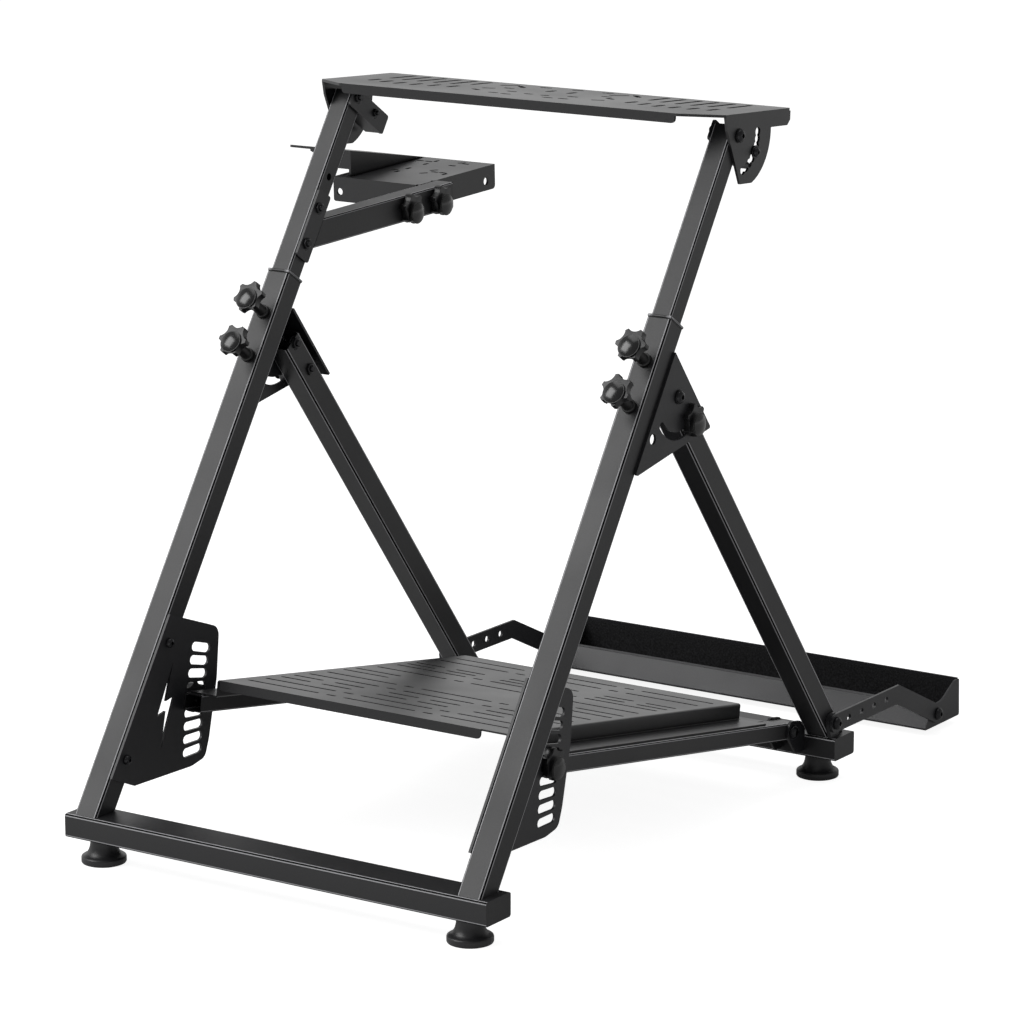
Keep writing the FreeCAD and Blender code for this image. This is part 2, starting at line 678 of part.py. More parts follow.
bracket_low = named_point("bracket_low", polar(bracket_round, S["bracket_radius"], -68))
bracket_high = named_point("bracket_high", polar(bracket_round, S["bracket_radius"], 3))
bracket_side = [(shoulder, under), (shoulder + 4, 6), (6, bracket_low[1]), bracket_low + (bracket_round, 1),
                bracket_high, (back - 6, bracket_high[1]), (back, bracket_high[1] + 6), (back, under)]
for hand, low, high in sides(bracket_in, bracket_out):
    pad(wheel_plate, hand + "_bracket", "YZ_Plane", low, high, bracket_side)
for hand, low, high in sides(bracket_in - 1, bracket_out + 1):
    cut(wheel_plate, hand + "_holes", "YZ_Plane", low, high,
        [notched_slot(S["tilt_radius"], S["tilt_notch"], S["tilt_step"], notch_first, 8)],
        [(0, 0, bolt_hole)])

columns = (120, 141.5, 163, 184.5, 206, 227.5)
rear_slots = (44, 54, 57, 59, 58, 52)
front_slots = (18, 11, 6, 4, 8, 15)
side_slots = [slot(size(sign * x), 98 - length / 2, length, 6.5, 90)
              for x, length in zip(columns, rear_slots) for sign in (-1, 1)]
side_slots += [slot(size(sign * x), size(y), 25, 6.5, 90)
               for x, y in zip(columns, front_slots) for sign in (-1, 1)]
middle_slots = [slot(size(x), size(y), length, 6.5, angle) for x, y, length, angle in (
    (-42, 92, 16, 0), (0, 94, 16, 0), (42, 92, 16, 0), (-41, 20, 14, 0), (41, 20, 14, 0),
    (-11, 9, 12, 0), (11, 9, 12, 0), (-47, -9, 14, 0), (47, -9, 14, 0), (-28, -12, 14, 0),
    (28, -12, 14, 0), (-82, 34, 16, 30), (82, 34, 16, -30), (-82, 8, 16, -30), (82, 8, 16, 30),
    (-66, 52, 14, 0), (66, 52, 14, 0), (-86, 84, 24, 45), (86, 84, 24, -45),
    (-66, 78, 24, -45), (66, 78, 24, 45), (-14, 60, 20, 90), (14, 60, 20, 90))]
cut(wheel_plate, "side_slots", "XY_Plane", under - 1, top + 1, side_slots)
cut(wheel_plate, "middle_slots", "XY_Plane", under - 1, top + 1, middle_slots)

# tilt clips: a bar across each upper tube's inner face, with a foot behind the tube
tube_face = named("tube_face", leg_in + gap)
clip_front = gap + 0.5
clip_back = named("clip_back", clip_front + S["clip_reach"])
clip_low = named("clip_low", S["pivot_along"] - S["clip_height"] / 2)
clip_high = named("clip_high", S["pivot_along"] + S["clip_height"] / 2)
tilt_at = span / 2 + S["tilt_radius"]
clips = []
for hand, low, high in sides(tube_face - steel, tube_face):
    clip = slab(hand + "_tilt_clip", "YZ_Plane", low, high,
                rectangle(clip_front, clip_low, clip_back, clip_high, 3), LEG, False)
    foot_span = (low, high + 19) if hand == "right" else (low - 19, high)
    pad(clip, "foot", "YZ_Plane", *foot_span, rectangle(span - 1, clip_low, clip_back - 4, clip_low + steel))
    cut(clip, "holes", "YZ_Plane", low - 1, high + 1,
        circles=[(span / 2, S["pivot_along"], bolt_hole), (tilt_at, S["pivot_along"], S["pin_radius"] + loose)])
    clips.append(clip)
group("tilt_clips", clips)

# shifter mount on the left upper tube, in a frame at the arm's lower front corner
rise_arm = S["arm_rise"]
arm_at = named_point("arm", leg(S["arm_along"], S["arm_behind"]))
ARM = (arm_at[0], arm_at[1], rise_arm)


def arm(along, up):
    y = arm_at[0] + along * cos(rise_arm) - up * sin(rise_arm)
    z = arm_at[1] + along * sin(rise_arm) + up * cos(rise_arm)
    return (size(y), size(z))


strip = slab("shifter_arm_plate", "YZ_Plane", -tube_face, steel - tube_face,
             rectangle(gap, S["strip_low"], span - gap, S["strip_low"] + S["strip_length"], 3), LEG)
cut(strip, "holes", "YZ_Plane", -tube_face - 1, steel - tube_face + 1,
    circles=[(span / 2, along, bolt_hole) for along in strip_holes[:2]])
arm_high = named("arm_high", steel - tube_face)
arm_low = named("arm_low", arm_high - S["arm_width"])
stud_row = S["arm_height"] / 2 - 4.5
arm_studs = [S["arm_stud"] + S["arm_step"] * n for n in (0, 1)]
arm_tube = tube("shifter_arm", "XZ_Plane", -S["arm_length"], 0, (arm_low, size(0), arm_high, S["arm_height"]),
                S["small_corner"], ARM)
cut(arm_tube, "mitre", "YZ_Plane", arm_low - 1, arm_high + 1,
    [[(-2, -1), (0, 0), (21.8, S["arm_height"]), (21.8, S["arm_height"] + 2), (-2, S["arm_height"] + 2)]])
cut(arm_tube, "stud_holes", "YZ_Plane", arm_low - 1, arm_high + 1,
    circles=[(along, stud_row, bolt_hole) for along in arm_studs])

flange_out = named("flange_out", arm_low - loose)
flange_in = named("flange_in", flange_out - steel)
shelf_x = named("shelf_x", flange_out - S["shelf_width"])
shelf_front = S["shelf_start"]
shelf_back = named("shelf_back", shelf_front + S["shelf_length"])
shelf_top = S["shelf_rise"]
shelf_under = shelf_top - steel
reach = 20
shelf = slab("shifter_plate", "XY_Plane", shelf_under, shelf_top,
             rectangle(shelf_x, shelf_front, flange_out, shelf_back), ARM)
tongue_front = arm_studs[0] - reach - 18
relief = shelf_front + S["shelf_relief"]
flange_low = 1.5
pad(shelf, "flange", "YZ_Plane", flange_in, flange_out,
    rounded([(relief, shelf_under), (relief, stud_row + 9), (tongue_front, stud_row + 9, 6),
             (tongue_front, flange_low, 6), (shelf_back, flange_low, 5), (shelf_back, shelf_under)]))
pad(shelf, "front", "XZ_Plane", -shelf_front, steel - shelf_front,
    rounded([(shelf_x, shelf_top - 30, 3), (flange_in - 0.6, shelf_top - 30), (flange_in - 0.6, shelf_top),
             (shelf_x, shelf_top)]))
riser_x = named("riser_x", shelf_x + S["shelf_inset"])
wing_front = shelf_front + 6
wing_top = shelf_top + S["shelf_step"]
pad(shelf, "riser", "YZ_Plane", riser_x, riser_x + steel,
    [(wing_front, shelf_under), (shelf_back, shelf_under), (shelf_back, shelf_top), (wing_front, wing_top)])
pad(shelf, "wing", "YZ_Plane", shelf_x - S["shelf_wing"], riser_x + steel,
    [(wing_front, wing_top - steel), (shelf_back, shelf_under), (shelf_back, shelf_top),
     (wing_front, wing_top)])
pad(shelf, "stiffener", "XZ_Plane", -wing_front - steel, -wing_front,
    [(riser_x + 1, wing_top - 2), (riser_x + 1, wing_top - 23), (shelf_x + 2, wing_top - 23),
     (shelf_x - 40, wing_top - 5), (shelf_x - 40, wing_top - 2)])
cut(shelf, "stud_slots", "YZ_Plane", flange_in - 1, flange_out + 1,
    [slot(along, stud_row, 2 * (reach + bolt_hole), 2 * bolt_hole) for along in arm_studs],
    [(shelf_back - 19.5, size(13), 5)])
cut(shelf, "front_hole", "XZ_Plane", -shelf_front - 1, steel - shelf_front + 1,
    circles=[(shelf_x + 9, shelf_top - 18, 4.3)])
cut(shelf, "corner", "XY_Plane", shelf_under - 1, shelf_top + 1,
    [rectangle(flange_out - 3, relief - 5, flange_out + 1, relief)])
shelf_slots = ((93.5, 133, 0), (81.5, 133, 0), (74, 139, 90), (74, 116, 90), (39, 143, 45), (31, 139, 0),
               (20, 143, 45), (14, 149, 0), (39, 122, 0), (76, 82, 90), (86, 67, 0), (76, 58, 90),
               (41, 86, 45), (33, 76, 0), (21, 76, 0), (41, 64, 45), (14, 69, 90))
cut(shelf, "slots", "XY_Plane", shelf_under - 1, shelf_top + 1,
    [slot(flange_out - x, shelf_front + 3 + y, 11, 4.5, angle) for x, y, angle in shelf_slots])

# tray behind the rear bar, in a frame at its lower front edge
tray_at = (rear_face + S["tray_reach"], S["tray_lift"])
TRAY = (tray_at[0], tray_at[1], 0)
rake = S["tray_rake"]
depth = S["tray_depth"]
wall_top = S["tray_wall"]
lip_top = S["tray_lip"]
arm_in = named("arm_in", half - 5)
arm_out = named("arm_out", arm_in + steel)
tray_half = named("tray_half", arm_in - loose)


def behind_panel(up):
    """The back of the raked front panel at a height."""
    return up * cos(rake) / sin(rake) + thin / sin(rake)


lip_front = named("lip_front", lip_top * cos(rake) / sin(rake))
tray = slab("tray", "YZ_Plane", thin - tray_half, tray_half - thin,
            rounded([(0, 0, 2), (depth, 0, bend), (depth - 2, wall_top), (depth - 2 - thin, wall_top),
                     (depth - thin, thin, 1), (behind_panel(thin), thin), (behind_panel(lip_top - thin), lip_top - thin),
                     (lip_front + 7, lip_top - thin), (lip_front + 7, lip_top), (lip_front, lip_top, 2)]), TRAY)
tray_bolt = (rear_face + 257, arm_level - 47.5)
tray_bolt_local = (tray_bolt[0] - tray_at[0], tray_bolt[1] - tray_at[1])
for hand, low, high in sides(tray_half - thin, tray_half):
    pad(tray, hand + "_end", "YZ_Plane", low, high,
        rounded([(0, 0, 2), (depth, 0, bend), (depth - 2, wall_top - 1, 2), (76, wall_top - 1, 12),
                 (44, 29, 30), (lip_front, lip_top, 3)]))
    cut(tray, hand + "_bolt_hole", "YZ_Plane", low - 1, high + 1, circles=[tray_bolt_local + (bolt_hole,)])

floor_up = thin + 0.2
floor_back = depth - thin - 1.6
slab("tray_lining", "YZ_Plane", 1 + thin - tray_half, tray_half - thin - 1,
     [(behind_panel(floor_up) + 2, floor_up), (floor_back, floor_up), (floor_back - 1.6, wall_top - 4),
      (floor_back - 1.6 - S["lining"], wall_top - 4), (floor_back - S["lining"], floor_up + S["lining"]),
      (behind_panel(floor_up) + 2, floor_up + S["lining"])], TRAY)

arm_half = S["tray_arm_half"]
elbow = (rear_face + S["tray_arm_elbow"], arm_level)
arm_fall = named("arm_fall", slope_of(arm_level - tray_bolt[1], tray_bolt[0] - elbow[0]))
mitre = named("arm_mitre", arm_half * sin(arm_fall / 2) / cos(arm_fall / 2))
side_y, side_z = named_point("arm_side", (arm_half * sin(arm_fall), arm_half * cos(arm_fall)))
for hand, low, high in sides(arm_in, arm_out):
    tray_arm = slab(hand + "_tray_arm", "YZ_Plane", low, high,
                    [(tray_pivot[0], arm_level - arm_half), (elbow[0] - mitre, arm_level - arm_half),
                     (tray_bolt[0] - side_y, tray_bolt[1] - side_z, tray_bolt, 1),
                     (tray_bolt[0] + side_y, tray_bolt[1] + side_z), (elbow[0] + mitre, arm_level + arm_half),
                     (tray_pivot[0], arm_level + arm_half, tray_pivot, 1)])
    cut(tray_arm, "holes", "YZ_Plane", low - 1, high + 1,
        circles=[(tray_pivot[0] + S["tray_hole_step"] * n, arm_level, bolt_hole) for n in range(5)]
        + [tray_bolt + (bolt_hole,)])

# upright tabs on the rear bar that carry the tray arms
tabs = []
tab_round = 12
for hand, low, high in sides(leg_out - side_gap + loose, arm_in - loose):
    tab = slab(hand + "_tray_tab", "YZ_Plane", low, high,
               [(rear_face + 1, bar_top), (tray_pivot[0] + tab_round, bar_top),
                (tray_pivot[0] + tab_round, arm_level, tray_pivot, 1),
                (tray_pivot[0] - tab_round, arm_level)], node=False)
    cut(tab, "pivot_hole", "YZ_Plane", low - 1, high + 1, circles=[tray_pivot + (bolt_hole,)])
    tabs.append(tab)
group("tray_tabs", tabs)


# star knobs
def knob(name, place, turn, reach, stem):
    """A star knob on a threaded stud; its own Z points away from what it clamps."""
    head = doc.addObject("PartDesign::Body", "K_" + name)
    star = 10
    levels = [("stud", -reach, stem + 2, bolt), ("hub", stem, stem + 4, 11),
              ("star", stem + 3, stem + star, S["knob_radius"]), ("cap", stem + star, stem + star + 3, 12)]
    if stem > 6:
        levels += [("seat", size(loose), size(4), 8), ("shaft", size(3), stem + 1, 6.5)]
    for word, low, high, radius in levels:
        item = sketch(head, word, "XY_Plane", low)
        draw(item, circles=[(0, 0, radius)])
        feature(head, "Pad", item, size(high) - size(low))
    bite = sketch(head, "bite", "XY_Plane", stem + star)
    draw(bite, circles=[(S["knob_radius"] + 1.2, 0, 4.6)])
    pocket = feature(head, "Pocket", bite, star - 3)
    lobes = head.newObject("PartDesign::PolarPattern", head.Name + "_lobes")
    lobes.Originals = [pocket]
    lobes.Axis = (bite, ["N_Axis"])
    lobes.Angle = 360
    lobes.Occurrences = 7
    head.Tip = lobes
    set_place(head, place, turn)
    return head


hands = (("right", 1), ("left", -1))
group("height_knobs", [knob("%s_height_%d" % (hand, n), (sign * leg_mid,) + leg(along, 0), (0, 0, 90 - lean),
                            gap - loose, 27)
                       for hand, sign in hands for n, along in enumerate(stud_places)])
plate_stud = deck(S["rail_stud"], 0)
group("pedal_knobs", [knob(hand + "_pedal", (sign * leg_in,) + plate_stud, (0, sign * 90, 0), 8, 1)
                      for hand, sign in hands])
group("shifter_knobs", [knob("shifter_%d" % n, (arm_high,) + arm(along, stud_row), (0, 90, 0),
                             S["arm_width"] + steel, 4)
                        for n, along in enumerate(arm_studs)])
brace_grip = leg_out + steel - leg_in - side_gap
group("brace_knobs", [knob(hand + "_brace", (sign * (leg_out + steel),) + rear(S["slot_radius"], 0),
                           (0, sign * 90, 0), brace_grip + 6.3, 1) for hand, sign in hands])


# bolts
def hexagon(across):
    return [(across / math.sqrt(3) * math.cos(math.radians(60 * n)),
             across / math.sqrt(3) * math.sin(math.radians(60 * n))) for n in range(6)]


def bolts(label, places, shank=bolt, washer=8):
    """Button-headed bolts: the outer face, the turn that points outwards, and the grip behind it."""
    made = []
    for number, (place, turn, grip) in enumerate(places):
        one = doc.addObject("PartDesign::Body", "N_%s_%d" % (label, number))
        nut = grip + loose * 2
        for word, low, high, radius in (("shank", -nut - 6, size(2), shank), ("washer", loose, loose + 1.6, washer),
                                        ("head", loose + 1.6, loose + 5.6, 6.5)):
            item = sketch(one, word, "XY_Plane", low)
            draw(item, circles=[(0, 0, radius)])
            feature(one, "Pad", item, size(high) - size(low))
        pad(one, "nut", "XY_Plane", -nut - 5.5, loose - nut, hexagon(12))
        set_place(one, place, turn)
        made.append(one)
    return group(label, made)


def both(place_x, place, grip):
    return [((sign * place_x,) + place, (0, sign * 90, 0), size(grip)) for hand, sign in hands]


bolts("brace_bolts", both(leg_out + steel, brace_at, brace_grip))
tilt_grip = bracket_out - tube_face + steel
bolts("tilt_bolts", both(bracket_out, pivot, tilt_grip))
bolts("tilt_pins", both(bracket_out, leg(S["pivot_along"], tilt_at), tilt_grip), S["pin_radius"])
bolts("hinge_bolts", both(rail_out + steel - loose, hinge, S["rail_width"] + 2 * steel))
bolts("tray_bolts", both(arm_out, tray_bolt, arm_out - tray_half + thin), washer=7.5)
bolts("tray_pivot_bolts", both(arm_out, tray_pivot, arm_out - leg_out + side_gap + wall), washer=7.5)
bolts("shifter_strip_bolts", [((steel - tube_face,) + leg(along, span / 2), (0, 90, 0), steel + wall)
                              for along in strip_holes[:2]], washer=6.5)

doc.recompute()

failed = [item.Name for item in doc.Objects if "Invalid" in item.State or "Error" in item.State]
if failed:
    raise RuntimeError("not computed: " + ", ".join(failed))
whole = Part.makeCompound([node.Shape for node in NODES]).BoundBox
shift = V(-whole.Center.x, -whole.Center.y, -whole.ZMin)
os.makedirs("parts", exist_ok=True)
for node in NODES:
    if node.Shape.isNull() or not node.Shape.isValid() or not node.Shape.Solids:
        raise RuntimeError("bad shape: " + node.Label)
    node.Shape.translated(shift).exportStep("parts/" + node.Label + ".step")
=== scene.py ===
# %% [markdown]
# # A racing wheel stand in satin black
# The stand is steel tube and folded steel sheet, welded and bolted together and then powder coated.
# Its solids come from the CAD model as a fixed frame, so this lesson only adds what the frame leaves out:
# the finishes, the turned feet, the moulded knobs, the bolts, the lips of the collars, and the studio.

# %% Loading the frame
import math

import bpy
from mathutils import Matrix, Vector


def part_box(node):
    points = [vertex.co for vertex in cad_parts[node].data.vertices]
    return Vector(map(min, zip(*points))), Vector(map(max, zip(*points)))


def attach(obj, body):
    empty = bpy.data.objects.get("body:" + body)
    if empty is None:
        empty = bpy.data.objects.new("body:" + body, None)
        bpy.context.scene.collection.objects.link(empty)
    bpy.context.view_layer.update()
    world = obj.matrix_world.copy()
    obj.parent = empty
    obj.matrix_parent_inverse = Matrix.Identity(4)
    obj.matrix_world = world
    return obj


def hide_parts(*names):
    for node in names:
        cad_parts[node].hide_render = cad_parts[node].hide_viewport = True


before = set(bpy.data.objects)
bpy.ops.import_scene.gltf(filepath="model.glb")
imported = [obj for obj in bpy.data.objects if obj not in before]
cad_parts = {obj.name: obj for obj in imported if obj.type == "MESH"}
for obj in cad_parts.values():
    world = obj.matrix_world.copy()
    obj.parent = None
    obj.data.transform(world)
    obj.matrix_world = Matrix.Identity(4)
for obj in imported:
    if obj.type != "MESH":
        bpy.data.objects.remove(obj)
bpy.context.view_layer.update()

# %% [markdown]
# The CAD model was drawn in millimetres from the middle of the front bar's front face, and the frame is
# centred on its own box. One helper turns the first into the second, so the places below can be read off
# the drawing. A second one walks up the front legs, which lean back by 33.4 degrees, because most fittings
# sit on them.

# %% Places on the stand
MM = 0.001
LEAN = math.radians(33.4)
LEG_FOOT = (4, 55)
LEG_X = 255
LEG_AXIS = 15
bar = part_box("front_bar")
ORIGIN = Vector(((bar[0].x + bar[1].x) / 2, bar[0].y, 0))


def place(x, y, z):
    """A point of the drawing, in millimetres from the middle of the front bar's front face."""
    return ORIGIN + Vector((x, y, z)) * MM


def at_leg(along, behind):
    """The y and z of a point so far along the front leg, and so far behind its front face."""
    foot_y, foot_z = LEG_FOOT
    y = foot_y + along * math.sin(LEAN) + behind * math.cos(LEAN)
    z = foot_z + along * math.cos(LEAN) - behind * math.sin(LEAN)
    return y, z


print("front bar starts at", ORIGIN)

# %% [markdown]
# Every colour is written as the hex value that a painter would pick, and one function turns it to the
# linear numbers that the shaders use. One more adds a shader node with its settings and its links, and
# fills the stops of a colour ramp.

# %% Colours and nodes
def linear(hex_colour):
    channels = [int(hex_colour[i:i + 2], 16) / 255 for i in (1, 3, 5)]
    return tuple(c / 12.92 if c <= 0.04045 else ((c + 0.055) / 1.055) ** 2.4 for c in channels) + (1.0,)


def add_node(tree, kind, settings=None, links=None, stops=()):
    """Adds a node, sets its properties and sockets by name, and links sockets to other nodes' outputs.

    The stops of a colour ramp are pairs of a position and a hex colour."""
    node = tree.nodes.new(kind)
    for key, value in (settings or {}).items():
        if isinstance(key, str) and hasattr(node, key):
            setattr(node, key, value)
        else:
            node.inputs[key].default_value = value
    for key, output in (links or {}).items():
        tree.links.new(output, node.inputs[key])
    if stops:
        elements = node.color_ramp.elements
        while len(elements) < len(stops):
            elements.new(1.0)
        for element, (position, colour) in zip(elements, stops):
            element.position = position
            element.color = linear(colour)
    return node


def new_material(name):
    material = bpy.data.materials.new(name)
    material.use_nodes = True
    material.node_tree.nodes.clear()
    return material, material.node_tree


WHITE = linear("#ffffff")
# A black for painted darkness: the painted dark line on each bend and the painted shade inside slits.
PAINTED_DARK = "#020202"
print("white in linear numbers:", WHITE)

# %% [markdown]
# Each rounded corner of a tube is painted as a deep black line between two pale ones: painted highlights
# at the edges of the bend and a painted dark reflection in its middle. How far a point is round a bend can
# be read from its Normal: the amount is 0 where the surface looks along or square to one direction, and 1
# half way between.

# %% Painted highlights along the bends
# The pale colour of the painted highlight on each side of a bend.
PAINTED_BEND_HIGHLIGHT = "#b2b2b5"
ACROSS, BACK = (1, 0, 0), (0, 1, 0)


def bend_amount(tree, direction):
    """0 on the flats that look along or square to a direction, 1 in the middle of the bends."""
    normal = add_node(tree, "ShaderNodeNewGeometry").outputs["Normal"]
    along = add_node(tree, "ShaderNodeVectorMath", {"operation": "DOT_PRODUCT", 1: direction}, {0: normal})
    square = add_node(tree, "ShaderNodeMath", {"operation": "MULTIPLY"},
                      {0: along.outputs["Value"], 1: along.outputs["Value"]})
    rest = add_node(tree, "ShaderNodeMath", {"operation": "SUBTRACT", 0: 1.0}, {1: square.outputs[0]})
    both = add_node(tree, "ShaderNodeMath", {"operation": "MULTIPLY"},
                    {0: square.outputs[0], 1: rest.outputs[0]})
    amount = add_node(tree, "ShaderNodeMath", {"operation": "MULTIPLY", 1: 4.0}, {0: both.outputs[0]})
    return amount.outputs[0]


def painted_bend_highlights(tree, tone, specular, direction):
    """The coat's colour with painted highlight lines and a painted dark line along the bends, and its
    gloss, which the dark line lacks.
    """
    amount = bend_amount(tree, direction)
    line = add_node(tree, "ShaderNodeValToRGB", links={"Fac": amount},
                    stops=[(0.0, PAINTED_BEND_HIGHLIGHT), (0.52, PAINTED_BEND_HIGHLIGHT), (0.66, PAINTED_DARK)])
    on_bend = add_node(tree, "ShaderNodeMapRange", {"From Min": 0.02, "From Max": 0.06}, {"Value": amount})
    colour = add_node(tree, "ShaderNodeMix", {"data_type": "RGBA"},
                      {0: on_bend.outputs["Result"], 6: tone, 7: line.outputs["Color"]})
    gloss = add_node(tree, "ShaderNodeMapRange",
                     {"From Min": 0.5, "From Max": 0.7, "To Min": specular, "To Max": 0.05},
                     {"Value": amount})
    return colour.outputs[2], gloss.outputs["Result"]


print("lines of", PAINTED_BEND_HIGHLIGHT, "and", PAINTED_DARK, "on each bend")

# %% [markdown]
# The walls of a narrow slit are painted in shade: their colour goes dark and their gloss dull. The ambient
# occlusion of the last few millimetres finds them: it is 1 on an open face and falls where walls stand
# close by.

# %% Painted shade in the slits
SLIT_REACH = 0.006


def painted_slit_shade(tree, tone, specular):
    """The coat's colour and gloss, both of which fade to painted shade inside narrow slits."""
    shade = add_node(tree, "ShaderNodeAmbientOcclusion",
                     {"samples": 6, "only_local": True, "Distance": SLIT_REACH, "Color": WHITE})
    open_part = add_node(tree, "ShaderNodeMapRange", {"From Min": 0.6, "From Max": 0.9},
                         {"Value": shade.outputs["AO"]})
    colour = add_node(tree, "ShaderNodeMix", {"data_type": "RGBA", 6: linear(PAINTED_DARK)},
                      {0: open_part.outputs["Result"], 7: tone})
    gloss = add_node(tree, "ShaderNodeMapRange", {"To Min": 0.02, "To Max": specular},
                     {"Value": open_part.outputs["Result"]})
    return colour.outputs[2], gloss.outputs["Result"]


print("slits darken over", SLIT_REACH / MM, "mm")

# %% [markdown]
# Powder coat is baked polyester dust. It flows out to a satin skin that is never quite flat: there is a
# fine orange peel a few millimetres wide, and a grain of a few tenths that breaks up the highlights.
# Both are noise on Object coordinates, so the pattern has the same size on every tube. The grain is drawn
# at 0.7 mm, a little coarser than real, because finer grain would vanish between two pixels. A third noise,
# a hand wide, makes the gloss slightly uneven. The tubes lie across the bars, so their bends are read from
# another direction.

# %% Powder coat
GRAINS_PER_METRE = 1000 / 0.7
PEELS_PER_METRE = 1000 / 2.8
CLOUDS_PER_METRE = 9.0
PEEL_DEPTH = 0.4 * MM


def coat_material(name, colour, speckle, roughness, specular=0.5, bend=None, slits=False):
    material, tree = new_material(name)
    where = add_node(tree, "ShaderNodeTexCoord").outputs["Object"]
    scales = ((GRAINS_PER_METRE, 2.0), (PEELS_PER_METRE, 1.0), (CLOUDS_PER_METRE, 2.0))
    grain, peel, cloud = [add_node(tree, "ShaderNodeTexNoise", {"Scale": scale, "Detail": detail},
                                   {"Vector": where}).outputs["Fac"] for scale, detail in scales]
    tone = add_node(tree, "ShaderNodeValToRGB", links={"Fac": grain},
                    stops=[(0.36, colour), (0.72, speckle)]).outputs["Color"]
    uneven = add_node(tree, "ShaderNodeMapRange",
                      {"From Min": 0.3, "From Max": 0.7,
                       "To Min": roughness - 0.03, "To Max": roughness + 0.04}, {"Value": cloud})
    height = add_node(tree, "ShaderNodeMath", {"operation": "MULTIPLY_ADD", 1: 0.35}, {0: grain, 2: peel})
    bump = add_node(tree, "ShaderNodeBump", {"Strength": 0.10, "Distance": PEEL_DEPTH},
                    {"Height": height.outputs[0]})
    coat = add_node(tree, "ShaderNodeBsdfPrincipled", {"Specular IOR Level": specular},
                    {"Roughness": uneven.outputs["Result"], "Normal": bump.outputs["Normal"]})
    # Painted highlight lines and a painted dark line along the bends.
    if bend:
        tone, gloss = painted_bend_highlights(tree, tone, specular, bend)
        tree.links.new(gloss, coat.inputs["Specular IOR Level"])
    # Painted shade inside the slits.
    elif slits:
        tone, gloss = painted_slit_shade(tree, tone, specular)
        tree.links.new(gloss, coat.inputs["Specular IOR Level"])
    tree.links.new(tone, coat.inputs["Base Color"])
    add_node(tree, "ShaderNodeOutputMaterial", links={"Surface": coat.outputs["BSDF"]})
    return material


# The tube and bar coats carry painted highlight lines and a painted dark line on their bends.
tube_coat = coat_material("satin_black_powder_coat_on_tube", "#141416", "#222224", 0.42, bend=ACROSS)
bar_coat = coat_material("satin_black_powder_coat_on_bar", "#141416", "#222224", 0.42, bend=BACK)
sheet_coat = coat_material("satin_black_powder_coat_on_sheet", "#1a1a1d", "#28282b", 0.40)
# The slotted plates carry painted shade in their slits.
slotted_coat = coat_material("satin_black_powder_coat_on_slotted_plate", "#121214", "#202022", 0.37,
                             specular=0.55, slits=True)
print("coats:", tube_coat.name, bar_coat.name, sheet_coat.name, slotted_coat.name)

# %% [markdown]
# The knobs are two mouldings. The grip is glass-filled nylon with a half-gloss skin, whose rounded lobes
# catch long highlights. The cap is clipped in and polished, so it is the one glossy thing on the stand.
# The feet are moulded rubber, the lining of the tray is rough rubber sheet, and the bolts are blackened
# steel. Each is one colour with a noise of the grain's width, which also lifts the skin a little.

# %% Moulded, rubber and steel finishes
def plain_material(name, colour, lighter, roughness, grain_mm, strength, metallic=0.0, specular=0.5):
    material, tree = new_material(name)
    where = add_node(tree, "ShaderNodeTexCoord").outputs["Object"]
    grain = add_node(tree, "ShaderNodeTexNoise", {"Scale": 1000 / grain_mm, "Detail": 3.0},
                     {"Vector": where})
    tone = add_node(tree, "ShaderNodeValToRGB", links={"Fac": grain.outputs["Fac"]},
                    stops=[(0.35, colour), (0.7, lighter)])
    bump = add_node(tree, "ShaderNodeBump", {"Strength": strength, "Distance": grain_mm * 0.0003},
                    {"Height": grain.outputs["Fac"]})
    shader = add_node(tree, "ShaderNodeBsdfPrincipled",
                      {"Metallic": metallic, "Roughness": roughness, "Specular IOR Level": specular},
                      {"Base Color": tone.outputs["Color"], "Normal": bump.outputs["Normal"]})
    add_node(tree, "ShaderNodeOutputMaterial", links={"Surface": shader.outputs["BSDF"]})
    return material


grip_nylon = plain_material("glass_filled_nylon_grip", "#101012", "#18181a",
                            roughness=0.36, grain_mm=0.8, strength=0.12)
cap_polish = plain_material("polished_abs_cap", "#09090a", "#0b0b0c",
                            roughness=0.20, grain_mm=3.0, strength=0.02, specular=0.65)
foot_rubber = plain_material("moulded_rubber_foot", "#202022", "#28282a",
                             roughness=0.38, grain_mm=1.0, strength=0.15)
tray_rubber = plain_material("rough_rubber_lining", "#0d0d0e", "#2c2c2e",
                             roughness=0.85, grain_mm=2.2, strength=1.0, specular=0.3)
dark_steel = plain_material("blackened_steel_bolt", "#1d1d1f", "#29292c",
                            roughness=0.26, grain_mm=1.5, strength=0.1, metallic=0.5)
collar_plastic = plain_material("moulded_nylon_collar", "#0b0b0c", "#121213",
                                roughness=0.42, grain_mm=1.0, strength=0.1)
print("materials so far:", len(bpy.data.materials))

# %% [markdown]
# The CAD nodes keep their meshes. Each one only gets its finish, by the first word of the list that its
# name holds. The legs, the pedal rails and the shifter's arm hold none of them: they are the tubes.

# %% Finishing the CAD nodes
FINISHES = [("foot", foot_rubber), ("knob", grip_nylon), ("collar", collar_plastic),
            ("lining", tray_rubber), ("bolt", dark_steel), ("pins", dark_steel), ("_bar", bar_coat),
            ("wheel_plate", slotted_coat), ("pedal_plate", slotted_coat), ("shifter_plate", slotted_coat)]
FINISHES += [(word, sheet_coat) for word in ("plate", "gusset", "tray", "clip", "bracket")]

finish_count = {}
for name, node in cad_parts.items():
    finish = next((material for word, material in FINISHES if word in name), tube_coat)
    node.data.materials.clear()
    node.data.materials.append(finish)
    finish_count[finish.name] = finish_count.get(finish.name, 0) + 1
print(finish_count)

# %% [markdown]
# New pieces are made by hand, with Blender's own operators. An operator acts on all that is selected, so
# every step starts from nothing selected.

